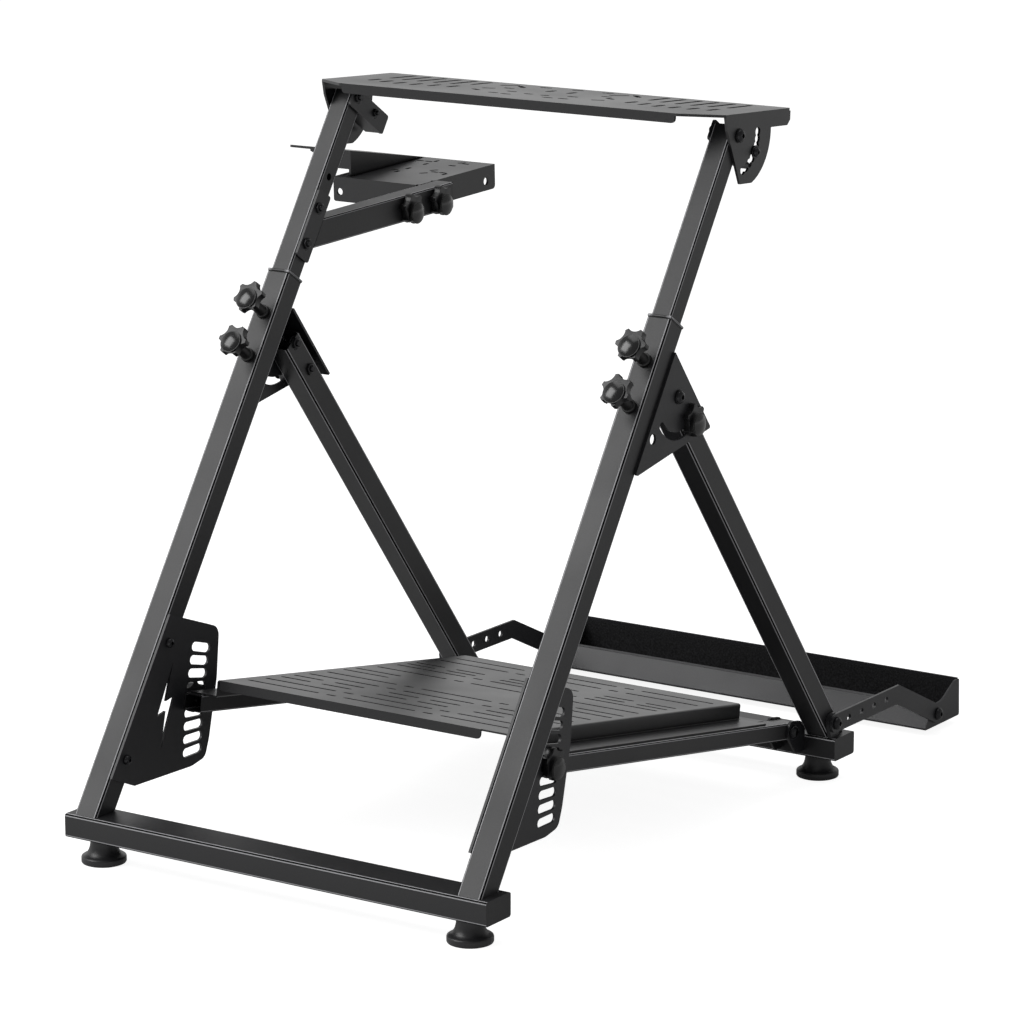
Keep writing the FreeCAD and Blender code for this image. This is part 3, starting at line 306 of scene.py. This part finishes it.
# %% Starting a piece
def clear_selection():
    if bpy.context.object and bpy.context.object.mode != "OBJECT":
        bpy.ops.object.mode_set(mode="OBJECT")
    bpy.ops.object.select_all(action="DESELECT")


def only(piece):
    clear_selection()
    piece.select_set(True)
    bpy.context.view_layer.objects.active = piece


def remove(*pieces):
    for piece in pieces:
        bpy.data.objects.remove(piece, do_unlink=True)


clear_selection()
print("selected:", len(bpy.context.selected_objects))

# %% [markdown]
# Round pieces are turned, as on a lathe: one vertex is extruded along half the outline, and the outline is
# spun about Z. Modifiers are applied at once, so that each piece is a plain mesh when it is copied.

# %% Shaping a piece
def turned(name, profile, steps=48):
    """Spins a profile of (radius, height) points, in millimetres, about Z."""
    clear_selection()
    bpy.ops.mesh.primitive_plane_add(size=MM, location=(0, 0, 0))
    piece = bpy.context.object
    piece.name = name
    bpy.ops.object.mode_set(mode="EDIT")
    bpy.ops.mesh.select_all(action="SELECT")
    bpy.ops.mesh.merge(type="CENTER")
    radius, height = profile[0]
    bpy.ops.transform.translate(value=(radius * MM, 0, height * MM))
    for (r0, h0), (r1, h1) in zip(profile, profile[1:]):
        move = ((r1 - r0) * MM, 0, (h1 - h0) * MM)
        bpy.ops.mesh.extrude_region_move(TRANSFORM_OT_translate={"value": move})
    bpy.ops.mesh.select_all(action="SELECT")
    bpy.ops.mesh.spin(steps=steps, angle=2 * math.pi, center=(0, 0, 0), axis=(0, 0, 1))
    bpy.ops.mesh.select_all(action="SELECT")
    bpy.ops.mesh.remove_doubles(threshold=0.00001)
    bpy.ops.mesh.normals_make_consistent(inside=False)
    bpy.ops.object.mode_set(mode="OBJECT")
    return piece


def use_modifier(piece, kind, **settings):
    only(piece)
    modifier = piece.modifiers.new(kind.lower(), kind)
    for key, value in settings.items():
        setattr(modifier, key, value)
    bpy.ops.object.modifier_apply(modifier=modifier.name)


def smooth(piece, degrees=35):
    only(piece)
    bpy.ops.object.shade_smooth_by_angle(angle=math.radians(degrees))


# %% [markdown]
# What repeats is modelled once and copied. Each copy has a mesh of its own that holds its place, and copies
# that move together are joined to one piece. A finished piece gets its material, rides on its body and
# hides the CAD nodes that it stands for.

# %% Copying and finishing a piece
def copy_to(pattern, matrix):
    copy = pattern.copy()
    copy.data = pattern.data.copy()
    copy.data.transform(matrix)
    bpy.context.scene.collection.objects.link(copy)
    return copy


def joined(name, parts):
    clear_selection()
    for part in parts:
        part.select_set(True)
    bpy.context.view_layer.objects.active = parts[0]
    if len(parts) > 1:
        bpy.ops.object.join()
    parts[0].name = name
    return parts[0]


def finish_piece(piece, body, slot_name, material, *nodes):
    piece.data.materials.clear()
    piece.data.materials.append(material)
    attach(piece, body)
    if nodes:
        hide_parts(*nodes)
    print(piece.name, "rides on", body, "with", len(piece.data.polygons), "faces")


# %% [markdown]
# A foot is a turned rubber bell: a wide disc with a rolled rim, a hollow flare and a stout neck that ends
# under the bar. It is a profile spun about the foot's axis, as it was in the mould.

# %% Feet
FOOT_X = 244.5
FOOT_ENDS = (("front", 23), ("rear", 748))
FOOT_DISC = [(0, 0), (23.2, 0), (24.4, 0.5), (25, 1.6), (25, 6.4), (24.6, 7.5), (23.6, 8.3)]
FOOT_FLARE = [(22, 9.0), (20.2, 10.0), (18.6, 11.6), (17.2, 13.8), (16.1, 16.4), (15.3, 19.5)]
FOOT_NECK = [(14.8, 23), (14.6, 28), (0, 28)]
foot_pattern = turned("foot_pattern", FOOT_DISC + FOOT_FLARE + FOOT_NECK, 64)
smooth(foot_pattern, 50)
for end, y in FOOT_ENDS:
    for hand, x in (("left", -FOOT_X), ("right", FOOT_X)):
        node = "%s_%s_foot" % (end, hand)
        foot = copy_to(foot_pattern, Matrix.Translation(place(x, y, 0)))
        foot.name = "turned_" + node
        finish_piece(foot, "base", "foot", foot_rubber, node)
remove(foot_pattern)

# %% [markdown]
# The grip of a star knob is a disc with six scallops between its lobes. The disc is cut with six
# cylinders, and its edges are then rounded by a bevel.

# %% Star grip
LOBES = 6
GRIP_RADIUS = 18.6
GRIP_THICKNESS = 8.6
BITE_RADIUS = 11
BITE_CENTRE = GRIP_RADIUS + 6.6


def star_grip():
    clear_selection()
    bpy.ops.mesh.primitive_cylinder_add(vertices=96, radius=GRIP_RADIUS * MM, depth=GRIP_THICKNESS * MM,
                                        location=(0, 0, GRIP_THICKNESS * MM / 2))
    grip = bpy.context.object
    for number in range(LOBES):
        angle = 2 * math.pi * number / LOBES
        middle = (BITE_CENTRE * MM * math.cos(angle), BITE_CENTRE * MM * math.sin(angle), 0)
        bpy.ops.mesh.primitive_cylinder_add(vertices=64, radius=BITE_RADIUS * MM,
                                            depth=3 * GRIP_THICKNESS * MM, location=middle)
        cutter = bpy.context.object
        use_modifier(grip, "BOOLEAN", operation="DIFFERENCE", object=cutter, solver="EXACT")
        remove(cutter)
    use_modifier(grip, "BEVEL", width=1.3 * MM, segments=4, limit_method="ANGLE",
                 angle_limit=math.radians(28))
    smooth(grip, 40)
    return grip


grip_pattern = star_grip()
print("grip faces:", len(grip_pattern.data.polygons))

# %% [markdown]
# The cap is a low dome, the top of a ball that is sunk in the grip. A thin black ring lies round it, where
# the real cap has its groove.

# %% Cap and groove
DOME_RADIUS = 29.4
DOME_SUNK = 26.3
groove_pattern = turned("groove_pattern",
                        [(11.8, -0.2), (12.0, 0.08), (12.9, 0.08), (13.1, -0.2), (11.8, -0.2)], 64)
cap_profile = [(0, 0)]
for degrees in range(24, -1, -3):
    angle = math.radians(degrees)
    cap_profile.append((DOME_RADIUS * math.sin(angle), DOME_RADIUS * math.cos(angle) - DOME_SUNK))
cap_pattern = turned("cap_pattern", cap_profile, 56)
smooth(cap_pattern, 60)
print("cap is", 2 * cap_profile[1][0], "mm wide")

# %% [markdown]
# The ribs on the back of the grip are thin moulded walls between the hub and the lobes. One rib is a
# block that is rounded by a bevel, and it is turned to its place round the axis.

# %% Ribbed hub
RIB_SIZE = (7.5 * MM, 1.4 * MM, 3.8 * MM)
RIB_MIDDLE = (11.2 * MM, 0, 2.6 * MM)


def ribbed_hub():
    pieces = [turned("hub", [(0, 0), (8, 0), (8.6, 0.5), (9, 4.5), (0, 4.5)], 40)]
    for number in range(LOBES):
        clear_selection()
        bpy.ops.mesh.primitive_cube_add(size=1, location=RIB_MIDDLE, scale=RIB_SIZE)
        rib = bpy.context.object
        bpy.ops.object.transform_apply(location=True, rotation=True, scale=True)
        use_modifier(rib, "BEVEL", width=0.35 * MM, segments=2)
        rib.data.transform(Matrix.Rotation(2 * math.pi * (number + 0.5) / LOBES, 4, "Z"))
        pieces.append(rib)
    whole = joined("hub_pattern", pieces)
    smooth(whole, 40)
    return whole


hub_pattern = ribbed_hub()
print("hub faces:", len(hub_pattern.data.polygons))

# %% [markdown]
# Each knob is placed by the face that it presses on and the way it points. A leg knob stands on a long
# stem with a small pressure disc, and the others sit on a plain stud, close to the plate that they clamp.

# %% Putting a knob together
HUB_UP = -2.2
GRIP_UP = 1.4
GRIP_TOP = GRIP_UP + GRIP_THICKNESS
CAP_SUNK = 0.1
STUD_RADIUS = 4
STEM_RADIUS = 6.2
PRESS_RADIUS = 8
LONG_STEM = 6


def towards(point, direction, spin=0.0):
    """A matrix that stands a piece on a point, with its own Z along a direction."""
    turn = Vector(direction).to_track_quat("Z", "Y").to_matrix().to_4x4()
    return Matrix.Translation(point) @ turn @ Matrix.Rotation(spin, 4, "Z")


def both_sides(x, y, z, last):
    """The same place on the right and on the left, looking outwards, with its spin or its grip."""
    return [(place(sign * x, y, z), (sign, 0, 0), last) for sign in (1, -1)]


def shaft_profile(stem, stud):
    start = [(0, -stud), (STUD_RADIUS, -stud)]
    if stem < LONG_STEM:
        return start + [(STUD_RADIUS, stem + 1), (0, stem + 1)]
    pressure_disc = [(STUD_RADIUS, 0.3), (7.2, 0.3), (PRESS_RADIUS, 0.9), (PRESS_RADIUS, 3.2), (7.4, 4)]
    return start + pressure_disc + [(6.5, 4.3), (STEM_RADIUS, 6), (STEM_RADIUS, stem - 3), (7.4, stem - 1),
                                    (0, stem - 1)]


def build_knobs(name, body, node, places, stem, stud):
    """Star knobs at (point, direction, spin), with a stem before the face and a stud behind it."""
    grips, caps, shafts = [], [], []
    for point, direction, spin in places:
        base = towards(point, direction, spin)
        for pattern, up, parts in ((grip_pattern, GRIP_UP, grips), (hub_pattern, HUB_UP, shafts),
                                   (groove_pattern, GRIP_TOP, shafts),
                                   (cap_pattern, GRIP_TOP - CAP_SUNK, caps)):
            parts.append(copy_to(pattern, base @ Matrix.Translation((0, 0, (stem + up) * MM))))
        shaft = turned("shaft", shaft_profile(stem, stud), 32)
        shaft.data.transform(base)
        smooth(shaft, 40)
        shafts.append(shaft)
    finish_piece(joined(name + "_grips", grips), body, "knob", grip_nylon, node)
    finish_piece(joined(name + "_caps", caps), body, "knob", cap_polish, node)
    finish_piece(joined(name + "_shafts", shafts), body, "knob", collar_plastic, node)


# %% [markdown]
# Two knobs on each leg clamp the telescoping tube. They point forward, square to the leg, and each was
# tightened to another angle.

# %% Height knobs
LEG_FORWARD = (0, -math.cos(LEAN), math.sin(LEAN))
LOW_KNOB = 557.5
HIGH_KNOB = 611.5
HEIGHT_KNOBS = ((-LEG_X, LOW_KNOB, 0.5), (-LEG_X, HIGH_KNOB, 0.85), (LEG_X, LOW_KNOB, 0.2),
                (LEG_X, HIGH_KNOB, 0.55))
height_places = [(place(x, *at_leg(along, 0)), LEG_FORWARD, spin) for x, along, spin in HEIGHT_KNOBS]
build_knobs("height_knob", "base", "height_knobs", height_places, stem=29, stud=2.2)

# %% [markdown]
# The rear leg hangs on a bolt through the gusset, and a knob below that bolt clamps it in an arc slot. It
# sits on the line from the bolt to the leg's lower end.

# %% Brace knobs
GUSSET_X = 273
BRACE_ALONG = 597
BRACE_BEHIND = 59
REAR_LEG_FOOT = (746, 55)
BOLT_TO_KNOB = 43
brace_y, brace_z = at_leg(BRACE_ALONG, BRACE_BEHIND)
BRACE_LEAN = math.atan((REAR_LEG_FOOT[0] - brace_y) / (brace_z - REAR_LEG_FOOT[1]))
brace_knob_y = brace_y + BOLT_TO_KNOB * math.sin(BRACE_LEAN)
brace_knob_z = brace_z - BOLT_TO_KNOB * math.cos(BRACE_LEAN)
build_knobs("brace_knob", "base", "brace_knobs", both_sides(GUSSET_X, brace_knob_y, brace_knob_z, 0.15),
            stem=1, stud=35)

# %% [markdown]
# The pedal rails turn on a hinge at the back. Near their front ends a knob on each side clamps them to the
# fanned slots of the side plates.

# %% Pedal knobs
RAIL_KNOB_X = 240
RAIL_HINGE = (697, 64.5)
RAIL_SLOPE = math.radians(9.35)
HINGE_TO_KNOB = 522
pedal_knob_y = RAIL_HINGE[0] - HINGE_TO_KNOB * math.cos(RAIL_SLOPE)
pedal_knob_z = RAIL_HINGE[1] + HINGE_TO_KNOB * math.sin(RAIL_SLOPE)
build_knobs("pedal_knob", "base", "pedal_knobs", both_sides(RAIL_KNOB_X, pedal_knob_y, pedal_knob_z, 0.1),
            stem=1, stud=8)

# %% [markdown]
# The shifter's shelf stands on an arm at the left leg, which rises by 1.8 degrees. Two knobs on the inner
# side of the arm clamp the shelf in its slots.

# %% Shifter knobs
ARM_X = -239.5
ARM_ALONG = 706.6
ARM_BEHIND = 28.3
ARM_RISE = math.radians(1.8)
ARM_HALF = 11.25
SHELF_KNOBS = (189, 249)
arm_y, arm_z = at_leg(ARM_ALONG, ARM_BEHIND)
shifter_places = []
for along in SHELF_KNOBS:
    y = arm_y + along * math.cos(ARM_RISE) - ARM_HALF * math.sin(ARM_RISE)
    z = arm_z + along * math.sin(ARM_RISE) + ARM_HALF * math.cos(ARM_RISE)
    shifter_places.append((place(ARM_X, y, z), ACROSS, 0.3))
build_knobs("shifter_knob", "upper_frame", "shifter_knobs", shifter_places, stem=4, stud=28)
remove(grip_pattern, groove_pattern, cap_pattern, hub_pattern)

# %% [markdown]
# Every joint is an M8 or M6 button-headed bolt with a washer under the head and a hexagon nut at the far
# side, from which the end of the thread stands out. The head is a turned dome with a hexagon socket.

# %% Bolt heads and nuts
M8, M6 = 4.0, 3.0  # radius of the shank
WASHER = 8.0


def bolt_head(shank, washer):
    """A button head whose washer lies on z = 0."""
    head = turned("head", [(0, 1.9), (1.8 * shank, 1.9), (1.8 * shank, 2.3), (1.68 * shank, 3.4),
                           (1.4 * shank, 4.5), (1.05 * shank, 5.2), (0.7 * shank, 5.5), (0, 5.5)], 40)
    bpy.ops.mesh.primitive_cylinder_add(vertices=6, radius=0.72 * shank * MM, depth=5 * MM,
                                        location=(0, 0, 5.5 * MM))
    socket = bpy.context.object
    use_modifier(head, "BOOLEAN", operation="DIFFERENCE", object=socket, solver="EXACT")
    remove(socket)
    disc = turned("disc", [(0, 0.05), (washer - 0.3, 0.05), (washer, 0.3), (washer, 1.6),
                           (washer - 0.3, 1.9), (0, 1.9)], 48)
    piece = joined("bolt_head", [head, disc])
    smooth(piece, 32)
    return piece


def bolt_nut(shank, washer):
    """A nut whose washer lies on z = 0, with the chamfered end of the thread above it."""
    clear_selection()
    bpy.ops.mesh.primitive_cylinder_add(vertices=6, radius=1.73 * shank * MM, depth=5.2 * MM,
                                        location=(0, 0, 4 * MM))
    nut = bpy.context.object
    use_modifier(nut, "BEVEL", width=0.5 * MM, segments=2)
    end = turned("end", [(0, 0), (washer - 0.3, 0), (washer, 0.3), (washer, 1.2), (washer - 0.3, 1.4),
                         (shank, 1.4), (shank, 8.6), (shank - 0.8, 9.4), (0, 9.4)], 40)
    piece = joined("bolt_nut", [nut, end])
    smooth(piece, 32)
    return piece


# %% [markdown]
# A bolt is placed by the face under its head, the way it looks and its grip, the thickness that it holds
# together. A grip of 0 leaves only the end that shows. Each bolt was tightened to another angle.

# %% Placing the bolts
def build_bolts(name, body, places, shank=M8, washer=WASHER, nut_first=False, node=None):
    """Bolts at (point, direction, grip): the head on the point, the nut at the other side of the grip."""
    parts = []
    head, nut = bolt_head(shank, washer), bolt_nut(shank, washer)
    near, far = (nut, head) if nut_first else (head, nut)
    for number, (point, direction, grip) in enumerate(places):
        spin = 0.5 + 0.9 * number
        parts.append(copy_to(near, towards(point, direction, spin)))
        if grip:
            back = [-c for c in direction]
            end = Vector(point) - Vector(direction) * grip * MM
            parts.append(copy_to(far, towards(end, back, spin)))
            rod = turned("rod", [(0, -grip), (shank, -grip), (shank, 0), (0, 0)], 24)
            rod.data.transform(towards(point, direction))
            smooth(rod)
            parts.append(rod)
    remove(head, nut)
    finish_piece(joined(name, parts), body, "bolt", dark_steel, *([node] if node else []))


print("bolts of M8 and M6, with shanks of", 2 * M8, "and", 2 * M6, "mm")

# %% [markdown]
# The rear legs hang on bolts through the gussets, and the wheel plate's brackets sit on two pairs: one is
# the pivot and the other runs in the notched slot. A strip of the shifter's arm is bolted to the left tube
# from inside, with its nuts outwards.

# %% Bolts of the legs
UPPER_X = 270.8
UPPER_ALONG = 889.5
INDEX_BEHIND = 55
UPPER_GRIP = 31.3
BRACE_GRIP = 32.5
STRIP_GRIP = 4.6
STRIP_BOLTS = (702.5, 747.5)
pivot_bolts = both_sides(UPPER_X, *at_leg(UPPER_ALONG, LEG_AXIS), UPPER_GRIP)
index_bolts = both_sides(UPPER_X, *at_leg(UPPER_ALONG, INDEX_BEHIND), UPPER_GRIP)
strip_bolts = [(place(ARM_X, *at_leg(along, LEG_AXIS)), ACROSS, STRIP_GRIP) for along in STRIP_BOLTS]
build_bolts("gusset_bolts", "base", both_sides(GUSSET_X, brace_y, brace_z, BRACE_GRIP), node="brace_bolts")
build_bolts("pivot_bolts", "upper_frame", pivot_bolts, node="tilt_bolts")
build_bolts("index_bolts", "upper_frame", index_bolts, M6, 7.5, node="tilt_pins")

# %% [markdown]
# The rails turn on bolts near the rear bar. The castor tray hangs on two arms: a short bolt holds it to
# each arm, and a longer one is the arm's pivot at the rear leg.

# %% Bolts of the rails, the tray and the arm
HINGE_X = 239.7
HINGE_GRIP = 31
TRAY_ARM_X = 278
TRAY_BOLT = (982, 25.5)
TRAY_GRIP = 5.3
ARM_PIVOT = (731.93, 73)
PIVOT_GRIP = 10
build_bolts("rail_hinge_bolts", "base", both_sides(HINGE_X, *RAIL_HINGE, HINGE_GRIP), node="hinge_bolts")
build_bolts("castor_tray_bolts", "castor_tray", both_sides(TRAY_ARM_X, *TRAY_BOLT, TRAY_GRIP), M8, 7.5,
            node="tray_bolts")
build_bolts("tray_arm_pivots", "base", both_sides(TRAY_ARM_X, *ARM_PIVOT, PIVOT_GRIP), M8, 7.5,
            node="tray_pivot_bolts")
build_bolts("shifter_bracket_bolts", "upper_frame", strip_bolts, M8, 7.0, nut_first=True,
            node="shifter_strip_bolts")

# %% [markdown]
# The CAD model leaves out the small fasteners. The side plates are held by two button heads each, which
# screw into the leg, and the clamping studs of the rear legs end in a nut on the inner side.

# %% Small fasteners
PLATE_X = 237
PLATE_SCREWS = ((135, 226), (56, 110))
screws = [(place(sign * PLATE_X, y, z), (-sign, 0, 0), 0) for sign in (1, -1) for y, z in PLATE_SCREWS]
stud_x = GUSSET_X - BRACE_GRIP
stud_nuts = [(place(sign * stud_x, brace_knob_y, brace_knob_z), (-sign, 0, 0), 0) for sign in (-1, 1)]
build_bolts("side_plate_screws", "base", screws, M6, 5.6)
build_bolts("brace_stud_nuts", "base", stud_nuts, nut_first=True)

# %% [markdown]
# The telescoping tubes slide in a moulded collar. Its lip has the outline of the leg tube, and a shadow
# gap parts it from the tube's end. Both are square rings: a rounded block with a smaller one cut out of it.

# %% Collars
COLLAR_HOLE = 12.8
LIP = (663.4, 666.5, 15.2)
SHADOW_GAP = (661.9, 663.6, 14.4)


def square_ring(x, low, high, half):
    """A square ring round the leg tube's axis, between two heights along the leg, half so wide."""
    blocks = []
    for size, depth in ((half, high - low), (COLLAR_HOLE, 3 * (high - low))):
        clear_selection()
        bpy.ops.mesh.primitive_cube_add(size=1, scale=(2 * size * MM, 2 * size * MM, depth * MM))
        block = bpy.context.object
        bpy.ops.object.transform_apply(location=True, rotation=True, scale=True)
        use_modifier(block, "BEVEL", width=1.0 * MM, segments=3, limit_method="ANGLE")
        blocks.append(block)
    ring, plug = blocks
    use_modifier(ring, "BOOLEAN", operation="DIFFERENCE", object=plug, solver="EXACT")
    remove(plug)
    middle = place(x, *at_leg((low + high) / 2, LEG_AXIS))
    ring.data.transform(Matrix.Translation(middle) @ Matrix.Rotation(-LEAN, 4, "X"))
    smooth(ring)
    return ring


lips = joined("collar_lips", [square_ring(x, *LIP) for x in (-LEG_X, LEG_X)])
finish_piece(lips, "base", "collar", tube_coat, "collars")
gaps = joined("collar_shadow_gaps", [square_ring(x, *SHADOW_GAP) for x in (-LEG_X, LEG_X)])
finish_piece(gaps, "base", "collar", collar_plastic, "collars")

# %% [markdown]
# The studio is white. For the camera the floor and the world are plain white, and all else sees them at
# the level that lights the stand. Black things take their tones from what they reflect, so the white that
# glossy rays see is shaped: it fades on some sides, as if black cards stood there.

# %% What the rays see
def seen_white(tree, glossy_level):
    """1 for camera and transmission rays, and glossy_level for glossy ones."""
    path = add_node(tree, "ShaderNodeLightPath")
    direct = add_node(tree, "ShaderNodeMath", {"operation": "MAXIMUM"},
                      {0: path.outputs["Is Camera Ray"], 1: path.outputs["Is Transmission Ray"]})
    reflected = add_node(tree, "ShaderNodeMath", {"operation": "MULTIPLY"},
                         {0: path.outputs["Is Glossy Ray"], 1: glossy_level})
    return add_node(tree, "ShaderNodeMath", {"operation": "MAXIMUM"},
                    {0: direct.outputs[0], 1: reflected.outputs[0]}).outputs[0]


def fade(tree, where, direction, start, end, low):
    """Goes from low to 1 along a direction."""
    along = add_node(tree, "ShaderNodeVectorMath", {"operation": "DOT_PRODUCT", 1: direction}, {0: where})
    return add_node(tree, "ShaderNodeMapRange",
                    {"interpolation_type": "SMOOTHSTEP", "From Min": start, "From Max": end, "To Min": low},
                    {"Value": along.outputs["Value"]}).outputs["Result"]


# %% [markdown]
# The floor adds a glow to the light that falls on it, so it comes out white and still keeps a soft shadow
# round the feet. In reflections it is dark near the stand and brighter far away and in front of the bar.

# %% Floor
FLOOR_LIFT = 0.90
clear_selection()
bpy.ops.mesh.primitive_plane_add(size=60, location=(0, 0, 0))
floor = bpy.context.object
floor.name = "floor"
floor_paint, tree = new_material("white_studio_floor")
spot = add_node(tree, "ShaderNodeTexCoord").outputs["Object"]
away = add_node(tree, "ShaderNodeVectorMath", {"operation": "LENGTH"}, {0: spot})
far_floor = add_node(tree, "ShaderNodeMapRange", {"From Min": 0.8, "From Max": 12.0, "To Min": 0.12},
                     {"Value": away.outputs["Value"]})
in_front = add_node(tree, "ShaderNodeMath", {"operation": "MULTIPLY", 1: 0.6},
                    {0: fade(tree, spot, (0, -1, 0), 0.3, 0.75, 0.0)})
reflected = add_node(tree, "ShaderNodeMath", {"operation": "MAXIMUM"},
                     {0: far_floor.outputs["Result"], 1: in_front.outputs[0]})
lift = add_node(tree, "ShaderNodeMath", {"operation": "MULTIPLY", 1: FLOOR_LIFT},
                {0: seen_white(tree, reflected.outputs[0])})
matt = add_node(tree, "ShaderNodeBsdfDiffuse", {"Color": linear("#b8b8b8")})
glow = add_node(tree, "ShaderNodeEmission", {"Color": WHITE}, {"Strength": lift.outputs[0]})
both = add_node(tree, "ShaderNodeAddShader", links={0: matt.outputs[0], 1: glow.outputs[0]})
add_node(tree, "ShaderNodeOutputMaterial", links={"Surface": both.outputs[0]})
floor.data.materials.append(floor_paint)
print("floor:", floor.dimensions)

# %% [markdown]
# Glossy rays see the world at full white low on the left and at the back. Towards the front right, where
# the camera stands, and from 15 degrees up it is held back, so that the dark faces stay black.

# %% World
ROOM_LIGHT = 0.30
world = bpy.data.worlds.new("white_studio")
bpy.context.scene.world = world
world.use_nodes = True
tree = world.node_tree
tree.nodes.clear()
way = add_node(tree, "ShaderNodeTexCoord").outputs["Generated"]
back_left = fade(tree, way, (-0.8, 0.6, 0), 0.15, 0.8, 0.08)
low_band = fade(tree, way, (0, 0, -1), -0.55, -0.26, 0.12)
reflected = add_node(tree, "ShaderNodeMath", {"operation": "MULTIPLY"}, {0: back_left, 1: low_band})
level = add_node(tree, "ShaderNodeMapRange", {"To Min": ROOM_LIGHT, "To Max": 1.0},
                 {"Value": seen_white(tree, reflected.outputs[0])})
sky = add_node(tree, "ShaderNodeBackground", {"Color": WHITE}, {"Strength": level.outputs["Result"]})
add_node(tree, "ShaderNodeOutputWorld", links={"Surface": sky.outputs[0]})
print("room light:", ROOM_LIGHT)

# %% [markdown]
# One large softbox high on the left in front of the stand puts the pale sheen on the sloping faces of the
# legs, and the faces that look right stay dark. A weak overhead box models the tops.

# %% Lamps
def softbox(name, position, aim, size, watts):
    lamp = bpy.data.lights.new(name, "AREA")
    lamp.size = size
    lamp.energy = watts
    holder = bpy.data.objects.new(name, lamp)
    holder.location = position
    holder.rotation_euler = (Vector(position) - Vector(aim)).to_track_quat("Z", "Y").to_euler()
    bpy.context.scene.collection.objects.link(holder)
    print(name, "gives", watts, "W")


softbox("key_softbox", (-2.6, -2.9, 3.3), (0, -0.1, 0.4), 2.8, 118)
softbox("overhead_softbox", (-0.3, 0.3, 3.4), (0, 0, 0.3), 2.6, 30)

# %% [markdown]
# The camera stands where the photographer stood. A long lens from 4.6 metres away, looking 13 degrees
# down and 34 degrees round from the front, gives the same mild perspective as the photograph.

# %% Camera
CAMERA_PLACE = (2657.4, -3504.5, 1461.3)
LOOK_DOWN = math.radians(13.19)
LOOK_ROUND = math.radians(33.79)
camera = bpy.data.cameras.new("camera")
camera.sensor_width = 36
camera.lens = 151.66
viewer = bpy.data.objects.new("camera", camera)
viewer.location = place(*CAMERA_PLACE)
viewer.rotation_euler = (math.pi / 2 - LOOK_DOWN, 0, LOOK_ROUND)
bpy.context.scene.collection.objects.link(viewer)
bpy.context.scene.camera = viewer
bpy.context.scene.view_settings.view_transform = "Standard"
print("camera at", viewer.location)
